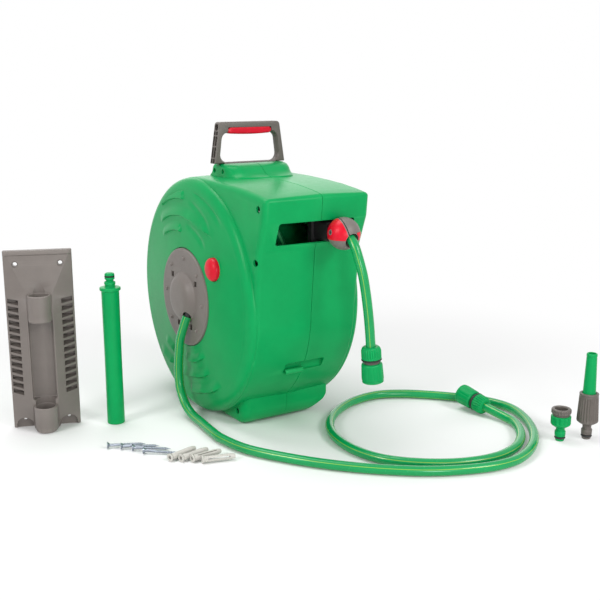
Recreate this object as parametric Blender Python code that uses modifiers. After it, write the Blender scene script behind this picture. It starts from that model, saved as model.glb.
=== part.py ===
"""Retractable hose reel with its wall bracket, pivot tube, fittings and fixings.

Metres, +Z up. The drum turns about X and its axle lies above the origin. The two
halves of the housing meet at X = 0, the hose leaves towards -Y, the water inlet
and its round cover are on the -X side, and Z = 0 is the ground.
"""

import math

import bmesh
import bpy
from mathutils import Matrix, Vector

# Fits and walls
CLEARANCE = 0.0003
SLIDE_CLEARANCE = 0.0004
WALL = 0.003
OVERRUN = 0.01

# Housing
HOUSING_RADIUS = 0.197
FOOT_DROP = 0.001
AXLE_HEIGHT = HOUSING_RADIUS + FOOT_DROP
HOUSING_TOP = AXLE_HEIGHT + HOUSING_RADIUS
HOUSING_STEPS = 24
HALF_WIDTH = {"left": 0.097, "right": 0.089}
SIDE_SIGN = {"left": -1, "right": 1}
MOULD_DRAFT = 0.0025
EDGE_RADIUS = 0.009
SEAM_GAP = 0.0004
BOX_FRONT = -(HOUSING_RADIUS + 0.0305)
TOP_LINE = (
    (-0.060, HOUSING_TOP - 0.0005),
    (-0.122, HOUSING_TOP - 0.0030),
    (-0.160, HOUSING_TOP - 0.0055),
    (-0.200, HOUSING_TOP - 0.0100),
)
TOP_FRONT_CORNER = (BOX_FRONT, HOUSING_TOP - 0.0145)
BOX_CORNER_RADIUS = 0.009
FRONT_LINE = (
    (BOX_FRONT + 0.0040, HOUSING_TOP - 0.0530),
    (BOX_FRONT + 0.0210, HOUSING_TOP - 0.0980),
)

# Dished side of the housing
DISH_STEP = 0.010
DISH_RISE = 0.0105
DISH_WALL_RADIUS = HOUSING_RADIUS - 0.0045
DISH_DRAFT = 0.003
RIM_RADIUS = 0.007
HUB_SEAT_DEPTH = 0.0042
DISH_ROOT = 0.026
DISH_ROOT_RIM = 0.008
DISH_WALL_START = 0.006
RIM_SHARE = 0.3

# Hub covers
HUB_RADIUS = 0.0805
HUB_PLATE = 0.007
DOME_RADIUS = 0.043
DOME_HEIGHT = 0.0135
HUB_FIT = 0.0007
HUB_EDGE = 0.0015
DOME_WALL = 0.0025
DOME_SHOULDER = 0.008
DOME_CREST = 0.021
INLET_HOLE_FIT = 0.0012
INLET_HOLE_DEPTH = 0.014
SPRING_BOSS_RADIUS = 0.024
SPRING_BOSS_RISE = 0.0035
ELBOW_WALL = 0.0025
ELBOW_SKIRT = 0.006
ELBOW_STUB = 0.006
ELBOW_DROP = 0.009
ELBOW_BRANCH_RADIUS = 0.0047

# Slot for the hose and pocket below it
SLOT_LEFT = -0.0715
SLOT_RIGHT = 0.0625
SLOT_LOW = HOUSING_TOP - 0.087
SLOT_HIGH = HOUSING_TOP - 0.053
SLOT_CORNER = 0.004
SLOT_CUT = (HOUSING_RADIUS - 0.007, HOUSING_RADIUS + 0.053)
POCKET_LEFT = -0.034
POCKET_RIGHT = 0.038
POCKET_LOW = AXLE_HEIGHT - 0.100
POCKET_HIGH = AXLE_HEIGHT - 0.085
POCKET_DEPTH = 0.012

# Foot and handle seat
FOOT_HALF_LENGTH = 0.081
FOOT_FRONT = -0.1245
FOOT_BACK = 0.110
FOOT_NOSE_RADIUS = 0.030
FOOT_TAPER = 0.016
FOOT_TOP = AXLE_HEIGHT - 0.123
FOOT_HEEL_RADIUS = 0.006
TONGUE_ROOT = 0.004
TONGUE_REACH = 0.006
TONGUE_HALF = 0.060
HUMP_HALF_LENGTH = 0.0595
HUMP_TOP = HOUSING_TOP + 0.0185
HUMP_CREST_FRONT = -0.034
HUMP_CREST_BACK = 0.006
HUMP_FRONT = -0.082
HUMP_BACK = 0.016
HUMP_EDGE = 0.005
HUMP_OUTLINE = (
    (HUMP_BACK, HOUSING_TOP - 0.0100, 0),
    (HUMP_BACK, HOUSING_TOP + 0.0030, 0),
    (HUMP_CREST_BACK, HUMP_TOP, 0.004),
    (HUMP_CREST_FRONT, HUMP_TOP, 0.012),
    (-0.056, HOUSING_TOP + 0.0120, 0),
    (-0.069, HOUSING_TOP + 0.0040, 0),
    (HUMP_FRONT, HOUSING_TOP - 0.0002, 0),
    (HUMP_FRONT - 0.006, HOUSING_TOP - 0.0100, 0),
)

# Handle
HANDLE_CENTRE = -0.0035
HANDLE_FOOT_HALF = 0.066
HANDLE_TOP_HALF = 0.056
HANDLE_TOP = HUMP_TOP + 0.066
HANDLE_FRONT = -0.021
HANDLE_DEPTH = 0.017
HANDLE_BAR = 0.0115
HANDLE_EDGE = 0.002
HANDLE_SEAT_DEPTH = 0.008
HANDLE_WINDOW_LOW = HUMP_TOP + 0.002
HANDLE_WINDOW_HIGH = HANDLE_TOP - 0.017
HANDLE_WINDOW_RADIUS = 0.012
GRIP_HALF = 0.040
GRIP_HEIGHT = 0.0085
GRIP_OVERHANG = 0.0012
HANDLE_BORE = 0.0045
HANDLE_BORE_DEPTH = 0.0085
HANDLE_BORE_END = 0.012
HANDLE_CORNERS = (0.006, 0.004)
HANDLE_TENON_HALF = HUMP_HALF_LENGTH - 0.0115
WINDOW_LEAN = 0.006
GRIP_REBATE = 0.004
GRIP_DROP = 0.0015
GRIP_EDGE = 0.004
GRIP_END = 0.003
END_POCKET_ROWS = 3
END_POCKET_DEPTH = 0.006
END_POCKET_RIB = 0.002
END_POCKET_WALL = 0.0016

# Hose
HOSE_DIAMETER = 0.015
HOSE_SIDES = 2
LEADER_STEP = 0.030
OUTLET_STEP = 0.015

# Axle and drum
SHAFT_RADIUS = 0.013
SHAFT_BORE = 0.007
SHAFT_PROUD = 0.009
FLANGE_LEFT = -0.062
FLANGE_RIGHT = 0.064
FLANGE_THICKNESS = 0.004
FLANGE_RADIUS = HOUSING_RADIUS - 0.032
BUSH_WALL = 0.003
CORE_RADIUS = 0.070
CORE_WALL = 0.003
LIGHTENING_HOLES = 6
LIGHTENING_CIRCLE = 0.043
LIGHTENING_RADIUS = 0.011
BUSH_REACH = 0.002
BUSH_PROUD = 0.0015

# Winding
WINDING_RADIUS = FLANGE_RADIUS - 0.019
WINDING_GAP = 0.0007
LOOP_POINTS = 24
WINDING_END_ANGLE = math.radians(95.7)

# Gears of the level wind, which reach from the axle to the traverse screw
DRUM_TEETH = 48
IDLER_TEETH = 33
SCREW_TEETH = 9
TRAVERSE_SETBACK = 0.008
GEAR_MODULE = (HOUSING_RADIUS + TRAVERSE_SETBACK) / (DRUM_TEETH / 2 + IDLER_TEETH + SCREW_TEETH / 2)

# Spring motor
CASE_RADIUS = GEAR_MODULE * DRUM_TEETH / 2 - 0.008
CASE_LENGTH = 0.024
SPRING_THICKNESS = 0.0014
SPRING_WIDTH = 0.017
SPRING_TURNS = 5
SPRING_TURN_POINTS = 12
CASE_GAP = 0.0018
CASE_WALL = 0.002
SPRING_SIDE_GAP = 0.0005
SPRING_RIM_GAP = 0.0012

# Level wind
GEAR_WIDTH = 0.008
TOOTH_TIP = 0.0020
TOOTH_ROOT = 0.0030
GEAR_GAP = 0.0023
TRAVERSE_DIRECTION = math.radians(152)
TRAVERSE_RADIUS = 0.006
GUIDE_ROD_RADIUS = 0.004
GUIDE_ROD_GAP = 0.020
IDLER_PIN_RADIUS = 0.004
IDLER_PIN_REACH = 0.001
IDLER_PIN_GAP = 0.0009
CARRIAGE_HALF = 0.020
CARRIAGE_THICKNESS = 0.010
MOUTH_HALF = 0.0155
MOUTH_HALF_HEIGHT = 0.0145
MOUTH_SEAT = 0.022
MOUTH_CORNER = 0.004
MOUTH_ROOT = 0.002
NUT_RADIUS = 0.010
NUT_PROUD = 0.001
SLIDE_WALL = 0.0035
FEED_START_GAP = 0.001
FEED_END_GAP = 0.012

# Hose stop ball
BALL_CENTRE = (0.027, BOX_FRONT - 0.0155, (SLOT_LOW + SLOT_HIGH) / 2 - 0.002)
BALL_RADIUS = 0.0245
BALL_SPLIT_TILT = math.radians(40)
BALL_SPLIT_GAP = 0.0008
BALL_OUTLET_FIT = 0.0014
BALL_OUTLET_DEPTH = 0.0165
GUIDE_ROD_HEIGHT = (
    BALL_CENTRE[2] + HOSE_DIAMETER / 2 + GUIDE_ROD_GAP + SLIDE_WALL + GUIDE_ROD_RADIUS
)

# Brake button
BUTTON_CENTRE = (-0.094, AXLE_HEIGHT + 0.061)
BUTTON_RADIUS = 0.0182
BUTTON_RISE = 0.010
BUTTON_STEM_RADIUS = 0.005
BUTTON_TRAVEL = 0.005
BRAKE_PAD_RADIUS = 0.013
BRAKE_PAD_THICKNESS = 0.004
BUTTON_SPRING_WIRE = 0.0012
BUTTON_SPRING_TURNS = 3
BUTTON_SPRING_RADIUS = 0.010
BUTTON_SPRING_POINTS = 8
BUTTON_CUP_START = 0.0015
BUTTON_CUP_FLOOR = 0.020
BUTTON_CUP_END = 0.022
BUTTON_SKIRT = 0.006
BUTTON_SHOULDER = 0.004
BUTTON_PAD_GAP = 0.0006

# Ratchet
RATCHET_TEETH = 16
RATCHET_RADIUS = 0.060
RATCHET_TOOTH = 0.007
RATCHET_WIDTH = 0.006
RATCHET_GAP = 0.0018
RATCHET_FACE = 0.06
PAWL_LENGTH = 0.030
PAWL_PIN_RADIUS = 0.003
PAWL_REST_LIFT = math.radians(14)
PAWL_PIVOT_GAP = 0.012
PAWL_PIVOT_ANGLE = math.radians(68)
PAWL_SIDE_GAP = 0.0005
PAWL_OUTLINE = (
    (0.006, -0.006, 0.005),
    (0.006, 0.006, 0.005),
    (-0.010, 0.0055, 0.0),
    (-PAWL_LENGTH, -0.004, 0.0),
    (-PAWL_LENGTH + 0.0005, -0.0085, 0.0),
    (-0.008, -0.005, 0.0),
)
PAWL_SPRING_WIRE = 0.0008
PAWL_SPRING_RADIUS = PAWL_PIN_RADIUS + 0.0016
PAWL_SPRING_START = 0.0012
PAWL_SPRING_LENGTH = 0.0075
PAWL_SPRING_TURNS = 3
PAWL_SPRING_POINTS = 7

# Quick connectors
CONNECTOR_BORE = 0.0045
CONNECTOR_SOCKET = 0.0083
CONNECTOR_NUT_RADIUS = 0.0152
CONNECTOR_NECK_RADIUS = 0.0113
CONNECTOR_FLANGE_RADIUS = 0.0155
CONNECTOR_SLEEVE_RADIUS = 0.0168
CONNECTOR_NUT_LENGTH = 0.019
CONNECTOR_FLANGE_LENGTH = 0.0022
CONNECTOR_LENGTH = 0.0555
CONNECTOR_SLEEVE_LENGTH = 0.030
CONNECTOR_SLEEVE_GAP = 0.0046
CONNECTOR_SOCKET_FLOOR = 0.034
CONNECTOR_LIP = 0.001
CONNECTOR_THREAD = CONNECTOR_NECK_RADIUS + 0.001
HOSE_INSERTION = 0.014

# Wall bracket and pivot tube
BRACKET_ORIGIN = (-0.337, 0.069)
BRACKET_YAW = math.radians(-19.8)
BRACKET_WIDTH = 0.104
BRACKET_HEIGHT = 0.288
BRACKET_SHEET = 0.0035
BRACKET_EDGE = 0.006
BRACKET_COLUMN_HALF = 0.020
BRACKET_COLUMN_DEPTH = 0.030
BRACKET_SLOPE_DEPTH = 0.62 * BRACKET_COLUMN_DEPTH
BRACKET_LEVELS = (
    (0.000, BRACKET_COLUMN_HALF, BRACKET_SLOPE_DEPTH, BRACKET_EDGE),
    (0.045, BRACKET_COLUMN_HALF, BRACKET_COLUMN_DEPTH, BRACKET_EDGE),
    (0.200, BRACKET_COLUMN_HALF, BRACKET_COLUMN_DEPTH, BRACKET_EDGE),
    (0.232, BRACKET_COLUMN_HALF, BRACKET_SLOPE_DEPTH, BRACKET_EDGE),
    (0.274, 0.40 * BRACKET_WIDTH, BRACKET_EDGE + 0.006, BRACKET_EDGE + 0.002),
    (BRACKET_HEIGHT, 0.42 * BRACKET_WIDTH, BRACKET_EDGE + 0.003, BRACKET_EDGE),
)
SOCKET_RADIUS = 0.0180
SOCKET_AXIS_DEPTH = 0.032
UPPER_SOCKET = (0.180, 0.222)
LOWER_SOCKET = (0.0, 0.042)
SOCKET_WEB_SHARE = 0.98
SOCKET_WEB_ROOT = 0.004
LOUVRE_ROWS = 14
LOUVRE_LOW = 0.062
LOUVRE_HIGH = BRACKET_LEVELS[2][0] + 0.0076
LOUVRE_PITCH = (LOUVRE_HIGH - LOUVRE_LOW) / (LOUVRE_ROWS - 1)
LOUVRE_SIZE = (0.015, 0.050, 0.0045)
LOUVRE_OFFSET = 0.040
LOUVRE_DEPTH = -0.016
SCREW_HOLE_RADIUS = 0.003
SCREW_HOLE_SIDE = 0.034
UPPER_HOLE_HEIGHT = 0.267
LOWER_HOLE_HEIGHT = 0.014
TUBE_BASE = (-0.2405, 0.0169)
TUBE_RADIUS = 0.014
TUBE_WALL = 0.003
TUBE_LENGTH = 0.221
TUBE_FIT = 0.0006
TUBE_NIPPLE_RADIUS = 0.0078
TUBE_TOTAL = 0.249
TUBE_FLANGE_RADIUS = TUBE_RADIUS + 0.0025
TUBE_FLANGE_TOP = TUBE_LENGTH + 0.005

# Knuckle on the back of the housing, which turns on the pivot tube
KNUCKLE_CENTRE = HOUSING_RADIUS + 0.0195
KNUCKLE_RADIUS = 0.0205
KNUCKLE_SPAN = (AXLE_HEIGHT - 0.068, AXLE_HEIGHT + 0.062)
KNUCKLE_WEB_HALF = 0.0125
KNUCKLE_ROOT = HOUSING_RADIUS - 0.027
KNUCKLE_STEPS = 8

# Fixings on the ground: head or open end, then tip
SCREW_ENDS = (
    ((-0.2957, -0.0840), (-0.2423, -0.1022)),
    ((-0.2797, -0.0985), (-0.2268, -0.1216)),
    ((-0.2674, -0.1135), (-0.2157, -0.1435)),
    ((-0.2578, -0.1325), (-0.2125, -0.1672)),
)
PLUG_ENDS = (
    ((-0.2375, -0.1813), (-0.1882, -0.1670)),
    ((-0.2248, -0.1917), (-0.1766, -0.1820)),
    ((-0.2118, -0.2018), (-0.1643, -0.1982)),
    ((-0.2012, -0.2130), (-0.1546, -0.2262)),
)
SCREW_LENGTH = 0.058
SCREW_SHANK_RADIUS = 0.0024
SCREW_HEAD_RADIUS = 0.0052
SCREW_HEAD_HEIGHT = 0.0032
PLUG_LENGTH = 0.050
PLUG_RADIUS = 0.0048
PLUG_COLLAR_RADIUS = 0.0060
PLUG_BORE = 0.0026

# Tap adaptor and spray nozzle
ADAPTOR_BASE = (0.3079, -0.4315)
NOZZLE_BASE = (0.3491, -0.4481)
NIPPLE_RADIUS = 0.0070
NIPPLE_COLLAR_RADIUS = 0.0083
NIPPLE_BORE = 0.0035
ORING_RADIUS = 0.0014
ORING_HEIGHT = 0.0052
NIPPLE_NECK = 0.0067
SOCKET_THREAD = 0.0098
ADAPTOR_HIGH = 0.0405
REDUCER_LOW = 0.0300
REDUCER_HIGH = 0.0520
REDUCER_BORE = 0.0078
NOZZLE_BARREL = 0.0104
NOZZLE_BARREL_TOP = 0.0745
NOZZLE_JET = 0.0020
NOZZLE_TIP_BORE = 0.0045
NOZZLE_TIP_LOW = 0.0560
NOZZLE_TIP_TOP = 0.1380

# Outlet hose, from the middle of the stop ball down to its connector
OUTLET_FALL = (
    (0.0000, -0.0170, -0.0050),
    (0.0000, -0.0242, -0.0110),
    (0.0005, -0.0310, -0.0215),
    (0.0025, -0.0365, -0.0370),
    (0.0065, -0.0405, -0.0580),
    (0.0105, -0.0425, -0.0830),
    (0.0140, -0.0435, -0.1080),
    (0.0170, -0.0440, -0.1330),
    (0.0195, -0.0440, -0.1580),
    (0.0216, -0.0440, -0.1800),
)
OUTLET_ROUTE = tuple(
    tuple(centre + step for centre, step in zip(BALL_CENTRE, fall)) for fall in OUTLET_FALL
)

# Leader hose, from the inlet to its connector on the ground
LEADER_ROUTE = (
    (-0.1262, -0.0215, AXLE_HEIGHT - 0.0280),
    (-0.1300, -0.0200, AXLE_HEIGHT - 0.0390),
    (-0.1327, -0.0172, AXLE_HEIGHT - 0.0510),
    (-0.1345, -0.0110, AXLE_HEIGHT - 0.0680),
    (-0.1340, -0.0040, 0.1050),
    (-0.1340, -0.0005, 0.0780),
    (-0.1345, -0.0040, 0.0480),
    (-0.1345, -0.0210, 0.0240),
    (-0.1335, -0.0460, 0.0110),
    (-0.1345, -0.0830, 0.0079),
    (-0.1385, -0.1250, 0.0079),
    (-0.1395, -0.1600, 0.0079),
    (-0.1290, -0.2150, 0.0079),
    (-0.1010, -0.2690, 0.0079),
    (-0.0605, -0.3270, 0.0079),
    (-0.0100, -0.3810, 0.0079),
    (0.0500, -0.4280, 0.0079),
    (0.1150, -0.4580, 0.0079),
    (0.1650, -0.4660, 0.0079),
    (0.2060, -0.4570, 0.0079),
    (0.2480, -0.4330, 0.0079),
    (0.2860, -0.3970, 0.0079),
    (0.3170, -0.3500, 0.0079),
    (0.3340, -0.3010, 0.0079),
    (0.3260, -0.2550, 0.0079),
    (0.2980, -0.2120, 0.0079),
    (0.2660, -0.1760, 0.0079),
    (0.2290, -0.1440, 0.0079),
    (0.1850, -0.1240, 0.0079),
    (0.1290, -0.1300, 0.0079),
    (0.0770, -0.1570, 0.0079),
    (0.0370, -0.1960, 0.0079),
    (0.0120, -0.2450, 0.0079),
    (0.0050, -0.3030, 0.0079),
    (0.0190, -0.3560, 0.0079),
    (0.0550, -0.3980, 0.0079),
    (0.1050, -0.4290, 0.0079),
    (0.1580, -0.4410, 0.0079),
    (0.2060, -0.4330, 0.0079),
    (0.2420, -0.4120, 0.0079),
    (0.2700, -0.3840, 0.0079),
    (0.2890, -0.3530, 0.0079),
    (0.2910, -0.3280, 0.0100),
    (0.2875, -0.3014, 0.0140),
    (0.2862, -0.2757, 0.0179),
)
LEADER_TIP = (0.2842, -0.2325, 0.0243)

OBJECT_COLLECTION = "hose_reel"
AXLE = Vector((0.0, 0.0, AXLE_HEIGHT))

# Local Z of a turned or extruded shape laid along a world axis
ALONG_X = Matrix(((0, 0, 1, 0), (1, 0, 0, 0), (0, 1, 0, 0), (0, 0, 0, 1)))
ALONG_Y = Matrix(((1, 0, 0, 0), (0, 0, -1, 0), (0, 1, 0, 0), (0, 0, 0, 1)))


def clear_scene():
    for obj in list(bpy.data.objects):
        bpy.data.objects.remove(obj, do_unlink=True)
    parts = bpy.data.collections.new(OBJECT_COLLECTION)
    cutters = bpy.data.collections.new("cutters")
    for collection in (parts, cutters):
        bpy.context.scene.collection.children.link(collection)


def material(name, colour, roughness=0.45, metallic=0.0):
    found = bpy.data.materials.get(name)
    if found:
        return found
    made = bpy.data.materials.new(name)
    made.use_nodes = True
    made.diffuse_color = (*colour, 1.0)
    shader = made.node_tree.nodes["Principled BSDF"]
    shader.inputs["Base Color"].default_value = (*colour, 1.0)
    shader.inputs["Roughness"].default_value = roughness
    shader.inputs["Metallic"].default_value = metallic
    return made


def green_plastic():
    return material("green_plastic", (0.012, 0.370, 0.110), 0.38)


def grey_plastic():
    return material("grey_plastic", (0.190, 0.180, 0.165), 0.55)


def red_plastic():
    return material("red_plastic", (0.640, 0.012, 0.035), 0.35)


def black_rubber():
    return material("black_rubber", (0.010, 0.010, 0.010), 0.60)


def hose_vinyl():
    return material("hose_vinyl", (0.015, 0.330, 0.080), 0.35)


def inner_plastic():
    return material("inner_plastic", (0.035, 0.036, 0.038), 0.50)


def spring_steel():
    return material("spring_steel", (0.420, 0.430, 0.450), 0.35, 1.0)


def zinc_steel():
    return material("zinc_steel", (0.560, 0.580, 0.620), 0.30, 1.0)


def plug_nylon():
    return material("plug_nylon", (0.640, 0.620, 0.560), 0.50)


def place_in(collection_name, obj):
    for old in list(obj.users_collection):
        old.objects.unlink(obj)
    bpy.data.collections[collection_name].objects.link(obj)


def mesh_object(name, mesh):
    obj = bpy.data.objects.new(name, mesh)
    bpy.data.collections["cutters"].objects.link(obj)
    return obj


def baked(obj):
    """A plain mesh object of the evaluated shape, in world coordinates."""
    bpy.context.view_layer.update()
    evaluated = obj.evaluated_get(bpy.context.evaluated_depsgraph_get())
    mesh = bpy.data.meshes.new_from_object(evaluated)
    mesh.transform(obj.matrix_world)
    shape = bmesh.new()
    shape.from_mesh(mesh)
    bmesh.ops.remove_doubles(shape, verts=shape.verts, dist=1e-6)
    bmesh.ops.recalc_face_normals(shape, faces=shape.faces)
    shape.to_mesh(mesh)
    shape.free()
    name = obj.name
    bpy.data.objects.remove(obj, do_unlink=True)
    return mesh_object(name, mesh)


def combined(target, tool, operation):
    modifier = target.modifiers.new(operation.lower(), "BOOLEAN")
    modifier.operation = operation
    modifier.solver = "EXACT"
    modifier.object = tool
    result = baked(target)
    tool.hide_render = True
    tool.display_type = "WIRE"
    return result


def joined(target, *tools):
    for tool in tools:
        target = combined(target, tool, "UNION")
    return target


def cut(target, *tools):
    for tool in tools:
        target = combined(target, tool, "DIFFERENCE")
    return target


def finished(obj, finish, pivot=(0.0, 0.0, 0.0), parent=None):
    """Move a built shape to the object's collection with its material and origin."""
    place_in(OBJECT_COLLECTION, obj)
    obj.data.transform(Matrix.Translation(-Vector(pivot)))
    obj.location = pivot
    obj.data.materials.clear()
    obj.data.materials.append(finish)
    obj.data.shade_smooth()
    obj.data.set_sharp_from_angle(angle=math.radians(35))
    if parent:
        bpy.context.view_layer.update()
        obj.parent = parent
        obj.matrix_parent_inverse = parent.matrix_world.inverted()
    return obj


def body_empty(name, location):
    empty = bpy.data.objects.new(name, None)
    empty.location = location
    empty.empty_display_size = 0.02
    bpy.data.collections[OBJECT_COLLECTION].objects.link(empty)
    bpy.context.view_layer.update()
    return empty


def lofted(name, rings):
    """A closed solid through rings of equally many points, capped at both ends."""
    shape = bmesh.new()
    rows = [[shape.verts.new(point) for point in ring] for ring in rings]
    count = len(rows[0])
    for low, high in zip(rows, rows[1:]):
        for i in range(count):
            j = (i + 1) % count
            shape.faces.new((low[i], low[j], high[j], high[i]))
    shape.faces.new(rows[0])
    shape.faces.new(rows[-1])
    bmesh.ops.recalc_face_normals(shape, faces=shape.faces)
    mesh = bpy.data.meshes.new(name)
    shape.to_mesh(mesh)
    shape.free()
    return mesh_object(name, mesh)


def inset_corners(corners, distance):
    """The (x, y, radius) corners moved inwards, for points that run anticlockwise."""
    points = [Vector(corner[:2]) for corner in corners]
    moved = []
    for i, point in enumerate(points):
        before = (point - points[i - 1]).normalized()
        after = (points[(i + 1) % len(points)] - point).normalized()
        inward = Vector((-before.y - after.y, before.x + after.x)).normalized()
        lean = inward.dot(Vector((-before.y, before.x)))
        x, y = point + inward * (distance / lean)
        radius = corners[i][2]
        moved.append((x, y, max(radius - distance, 0.0006) if radius else 0))
    return moved


def rounded_outline(corners, steps=3):
    """The closed outline through (x, y, radius) corners, each rounded by an arc."""
    outline = []
    for i, (x, y, radius) in enumerate(corners):
        corner = Vector((x, y))
        if radius <= 0:
            outline.append(corner)
            continue
        back = (Vector(corners[i - 1][:2]) - corner).normalized()
        ahead = (Vector(corners[(i + 1) % len(corners)][:2]) - corner).normalized()
        half = back.angle(ahead) / 2
        centre = corner + (back + ahead).normalized() * (radius / math.sin(half))
        start = corner + back * (radius / math.tan(half)) - centre
        sweep = (math.pi - 2 * half) * math.copysign(1, back.cross(ahead))
        for step in range(steps + 1):
            turn = Matrix.Rotation(-sweep * step / steps, 2)
            outline.append(centre + turn @ start)
    return outline


def prism(name, corners, sections, along=ALONG_X, steps=3):
    """Rounded corners lofted along an axis through sections of (position, inset)."""
    rings = []
    for position, inset in sections:
        ring = rounded_outline(inset_corners(corners, inset), steps)
        rings.append([along @ Vector((p.x, p.y, position)) for p in ring])
    return lofted(name, rings)


def turned(name, profile, along=ALONG_X, centre=(0, 0, 0), steps=32, closed=False):
    """A profile of (radius, position) points turned about its axis by a Screw."""
    mesh = bpy.data.meshes.new(name)
    points = [(radius, 0.0, position) for radius, position in profile]
    links = [(i, i + 1) for i in range(len(points) - 1)]
    if closed:
        links.append((len(points) - 1, 0))
    mesh.from_pydata(points, links, [])
    obj = mesh_object(name, mesh)
    obj.matrix_world = Matrix.Translation(centre) @ along
    screw = obj.modifiers.new("turn", "SCREW")
    screw.steps = steps
    screw.render_steps = steps
    screw.use_merge_vertices = True
    screw.merge_threshold = 1e-5
    return baked(obj)


def rod(name, start, end, radius, sides=16):
    start, end = Vector(start), Vector(end)
    shape = bmesh.new()
    bmesh.ops.create_cone(
        shape,
        cap_ends=True,
        segments=sides,
        radius1=radius,
        radius2=radius,
        depth=(end - start).length,
    )
    lay = (end - start).to_track_quat("Z", "Y").to_matrix().to_4x4()
    shape.transform(Matrix.Translation((start + end) / 2) @ lay)
    mesh = bpy.data.meshes.new(name)
    shape.to_mesh(mesh)
    shape.free()
    return mesh_object(name, mesh)


def block(name, low, high):
    low, high = Vector(low), Vector(high)
    shape = bmesh.new()
    bmesh.ops.create_cube(shape, size=1.0)
    bmesh.ops.scale(shape, vec=high - low, verts=shape.verts)
    bmesh.ops.translate(shape, vec=(low + high) / 2, verts=shape.verts)
    mesh = bpy.data.meshes.new(name)
    shape.to_mesh(mesh)
    shape.free()
    return mesh_object(name, mesh)


def tube(name, points, radius, resolution=HOSE_SIDES):
    """A round bar along a polyline, with flat welded ends."""
    curve = bpy.data.curves.new(name, "CURVE")
    curve.dimensions = "3D"
    curve.bevel_depth = radius
    curve.bevel_resolution = resolution
    curve.use_fill_caps = True
    spline = curve.splines.new("POLY")
    spline.points.add(len(points) - 1)
    for knot, point in zip(spline.points, points):
        knot.co = (*point, 1.0)
    obj = bpy.data.objects.new(name, curve)
    bpy.data.collections["cutters"].objects.link(obj)
    return baked(obj)


def smooth_route(knots, spacing):
    """Points about one spacing apart on a Catmull-Rom curve through the knots."""
    knots = [Vector(knot) for knot in knots]
    ends = [2 * knots[0] - knots[1], *knots, 2 * knots[-1] - knots[-2]]
    fine = []
    for a, b, c, d in zip(ends, ends[1:], ends[2:], ends[3:]):
        for step in range(12):
            t = step / 12
            fine.append(
                0.5
                * (
                    2 * b
                    + (c - a) * t
                    + (2 * a - 5 * b + 4 * c - d) * t**2
                    + (3 * b - a - 3 * c + d) * t**3
                )
            )
    fine.append(knots[-1])
    lengths = [0.0]
    for a, b in zip(fine, fine[1:]):
        lengths.append(lengths[-1] + (b - a).length)
    count = max(2, round(lengths[-1] / spacing))
    route, i = [], 0
    for step in range(count + 1):
        wanted = lengths[-1] * step / count
        while i < len(lengths) - 2 and lengths[i + 1] < wanted:
            i += 1
        share = (wanted - lengths[i]) / (lengths[i + 1] - lengths[i])
        route.append(fine[i].lerp(fine[i + 1], share))
    return route, lengths[-1]


def laid_along(start, end):
    """The placement whose local Z runs from start towards end."""
    start, end = Vector(start), Vector(end)
    lay = (end - start).to_track_quat("Z", "Y").to_matrix().to_4x4()
    return Matrix.Translation(start) @ lay


def body_outline():
    """The housing seen from the side: the drum's circle with the hose box in front."""
    outline = []
    for step in range(HOUSING_STEPS + 1):
        angle = math.pi + 1.5 * math.pi * step / HOUSING_STEPS
        across = HOUSING_RADIUS * math.cos(angle)
        outline.append((across, AXLE_HEIGHT + HOUSING_RADIUS * math.sin(angle), 0))
    outline.extend((y, z, 0) for y, z in TOP_LINE)
    outline.append((*TOP_FRONT_CORNER, BOX_CORNER_RADIUS))
    outline.extend((y, z, 0) for y, z in FRONT_LINE)
    return outline


def edge_sections(start, width, radius, inset, draft):
    """Sections from the seam outwards, with a rounded edge at the end."""
    sections = [(start, inset), (width - radius, inset + draft)]
    for angle in (math.radians(45), math.radians(90)):
        position = width - radius + radius * math.sin(angle)
        sections.append((position, inset + draft + radius * (1 - math.cos(angle))))
    return sections


def signed(sections, sign):
    return [(sign * position, inset) for position, inset in sections]


def dish_profile(side, wall):
    """The dished side, from inside the box out over the rim and in to the hub seat."""
    width = HALF_WIDTH[side]
    rim = width + DISH_STEP
    crown = rim + DISH_RISE
    seat = crown - HUB_SEAT_DEPTH
    radius = DISH_WALL_RADIUS - wall
    edge = radius - DISH_DRAFT
    seat_radius = HUB_RADIUS + HUB_FIT + wall
    outer = [
        (0.0, width - DISH_ROOT),
        (radius - DISH_ROOT_RIM, width - DISH_ROOT),
        (radius, width - DISH_WALL_START),
        (edge, rim - RIM_RADIUS),
        (edge - RIM_RADIUS * RIM_SHARE, rim - RIM_RADIUS * RIM_SHARE - wall * (1 - RIM_SHARE)),
        (edge - RIM_RADIUS, rim - wall),
        (seat_radius, crown - wall),
        (seat_radius, seat - wall),
        (0.0, seat - wall),
    ]
    return [(r, SIDE_SIGN[side] * x) for r, x in outer]


def foot_outline(inset):
    corners = [
        (FOOT_FRONT, FOOT_TOP, 0),
        (FOOT_FRONT, 0.0, FOOT_NOSE_RADIUS),
        (FOOT_BACK, 0.0, FOOT_HEEL_RADIUS),
        (FOOT_BACK, FOOT_TOP, 0),
    ]
    return inset_corners(corners, inset)


def foot_sections(start, wall):
    length = FOOT_HALF_LENGTH
    return [
        (start, 0),
        (length - FOOT_TAPER, 0),
        (length - FOOT_TAPER * 0.35 - wall * 0.5, FOOT_TAPER * 0.30),
        (length - wall, FOOT_TAPER),
    ]


def slot_cutter():
    corners = [
        (SLOT_LEFT, SLOT_LOW, SLOT_CORNER),
        (SLOT_RIGHT, SLOT_LOW, SLOT_CORNER),
        (SLOT_RIGHT, SLOT_HIGH, SLOT_CORNER),
        (SLOT_LEFT, SLOT_HIGH, SLOT_CORNER),
    ]
    return prism("slot_cutter", corners, [(reach, 0) for reach in SLOT_CUT], ALONG_Y)


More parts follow.
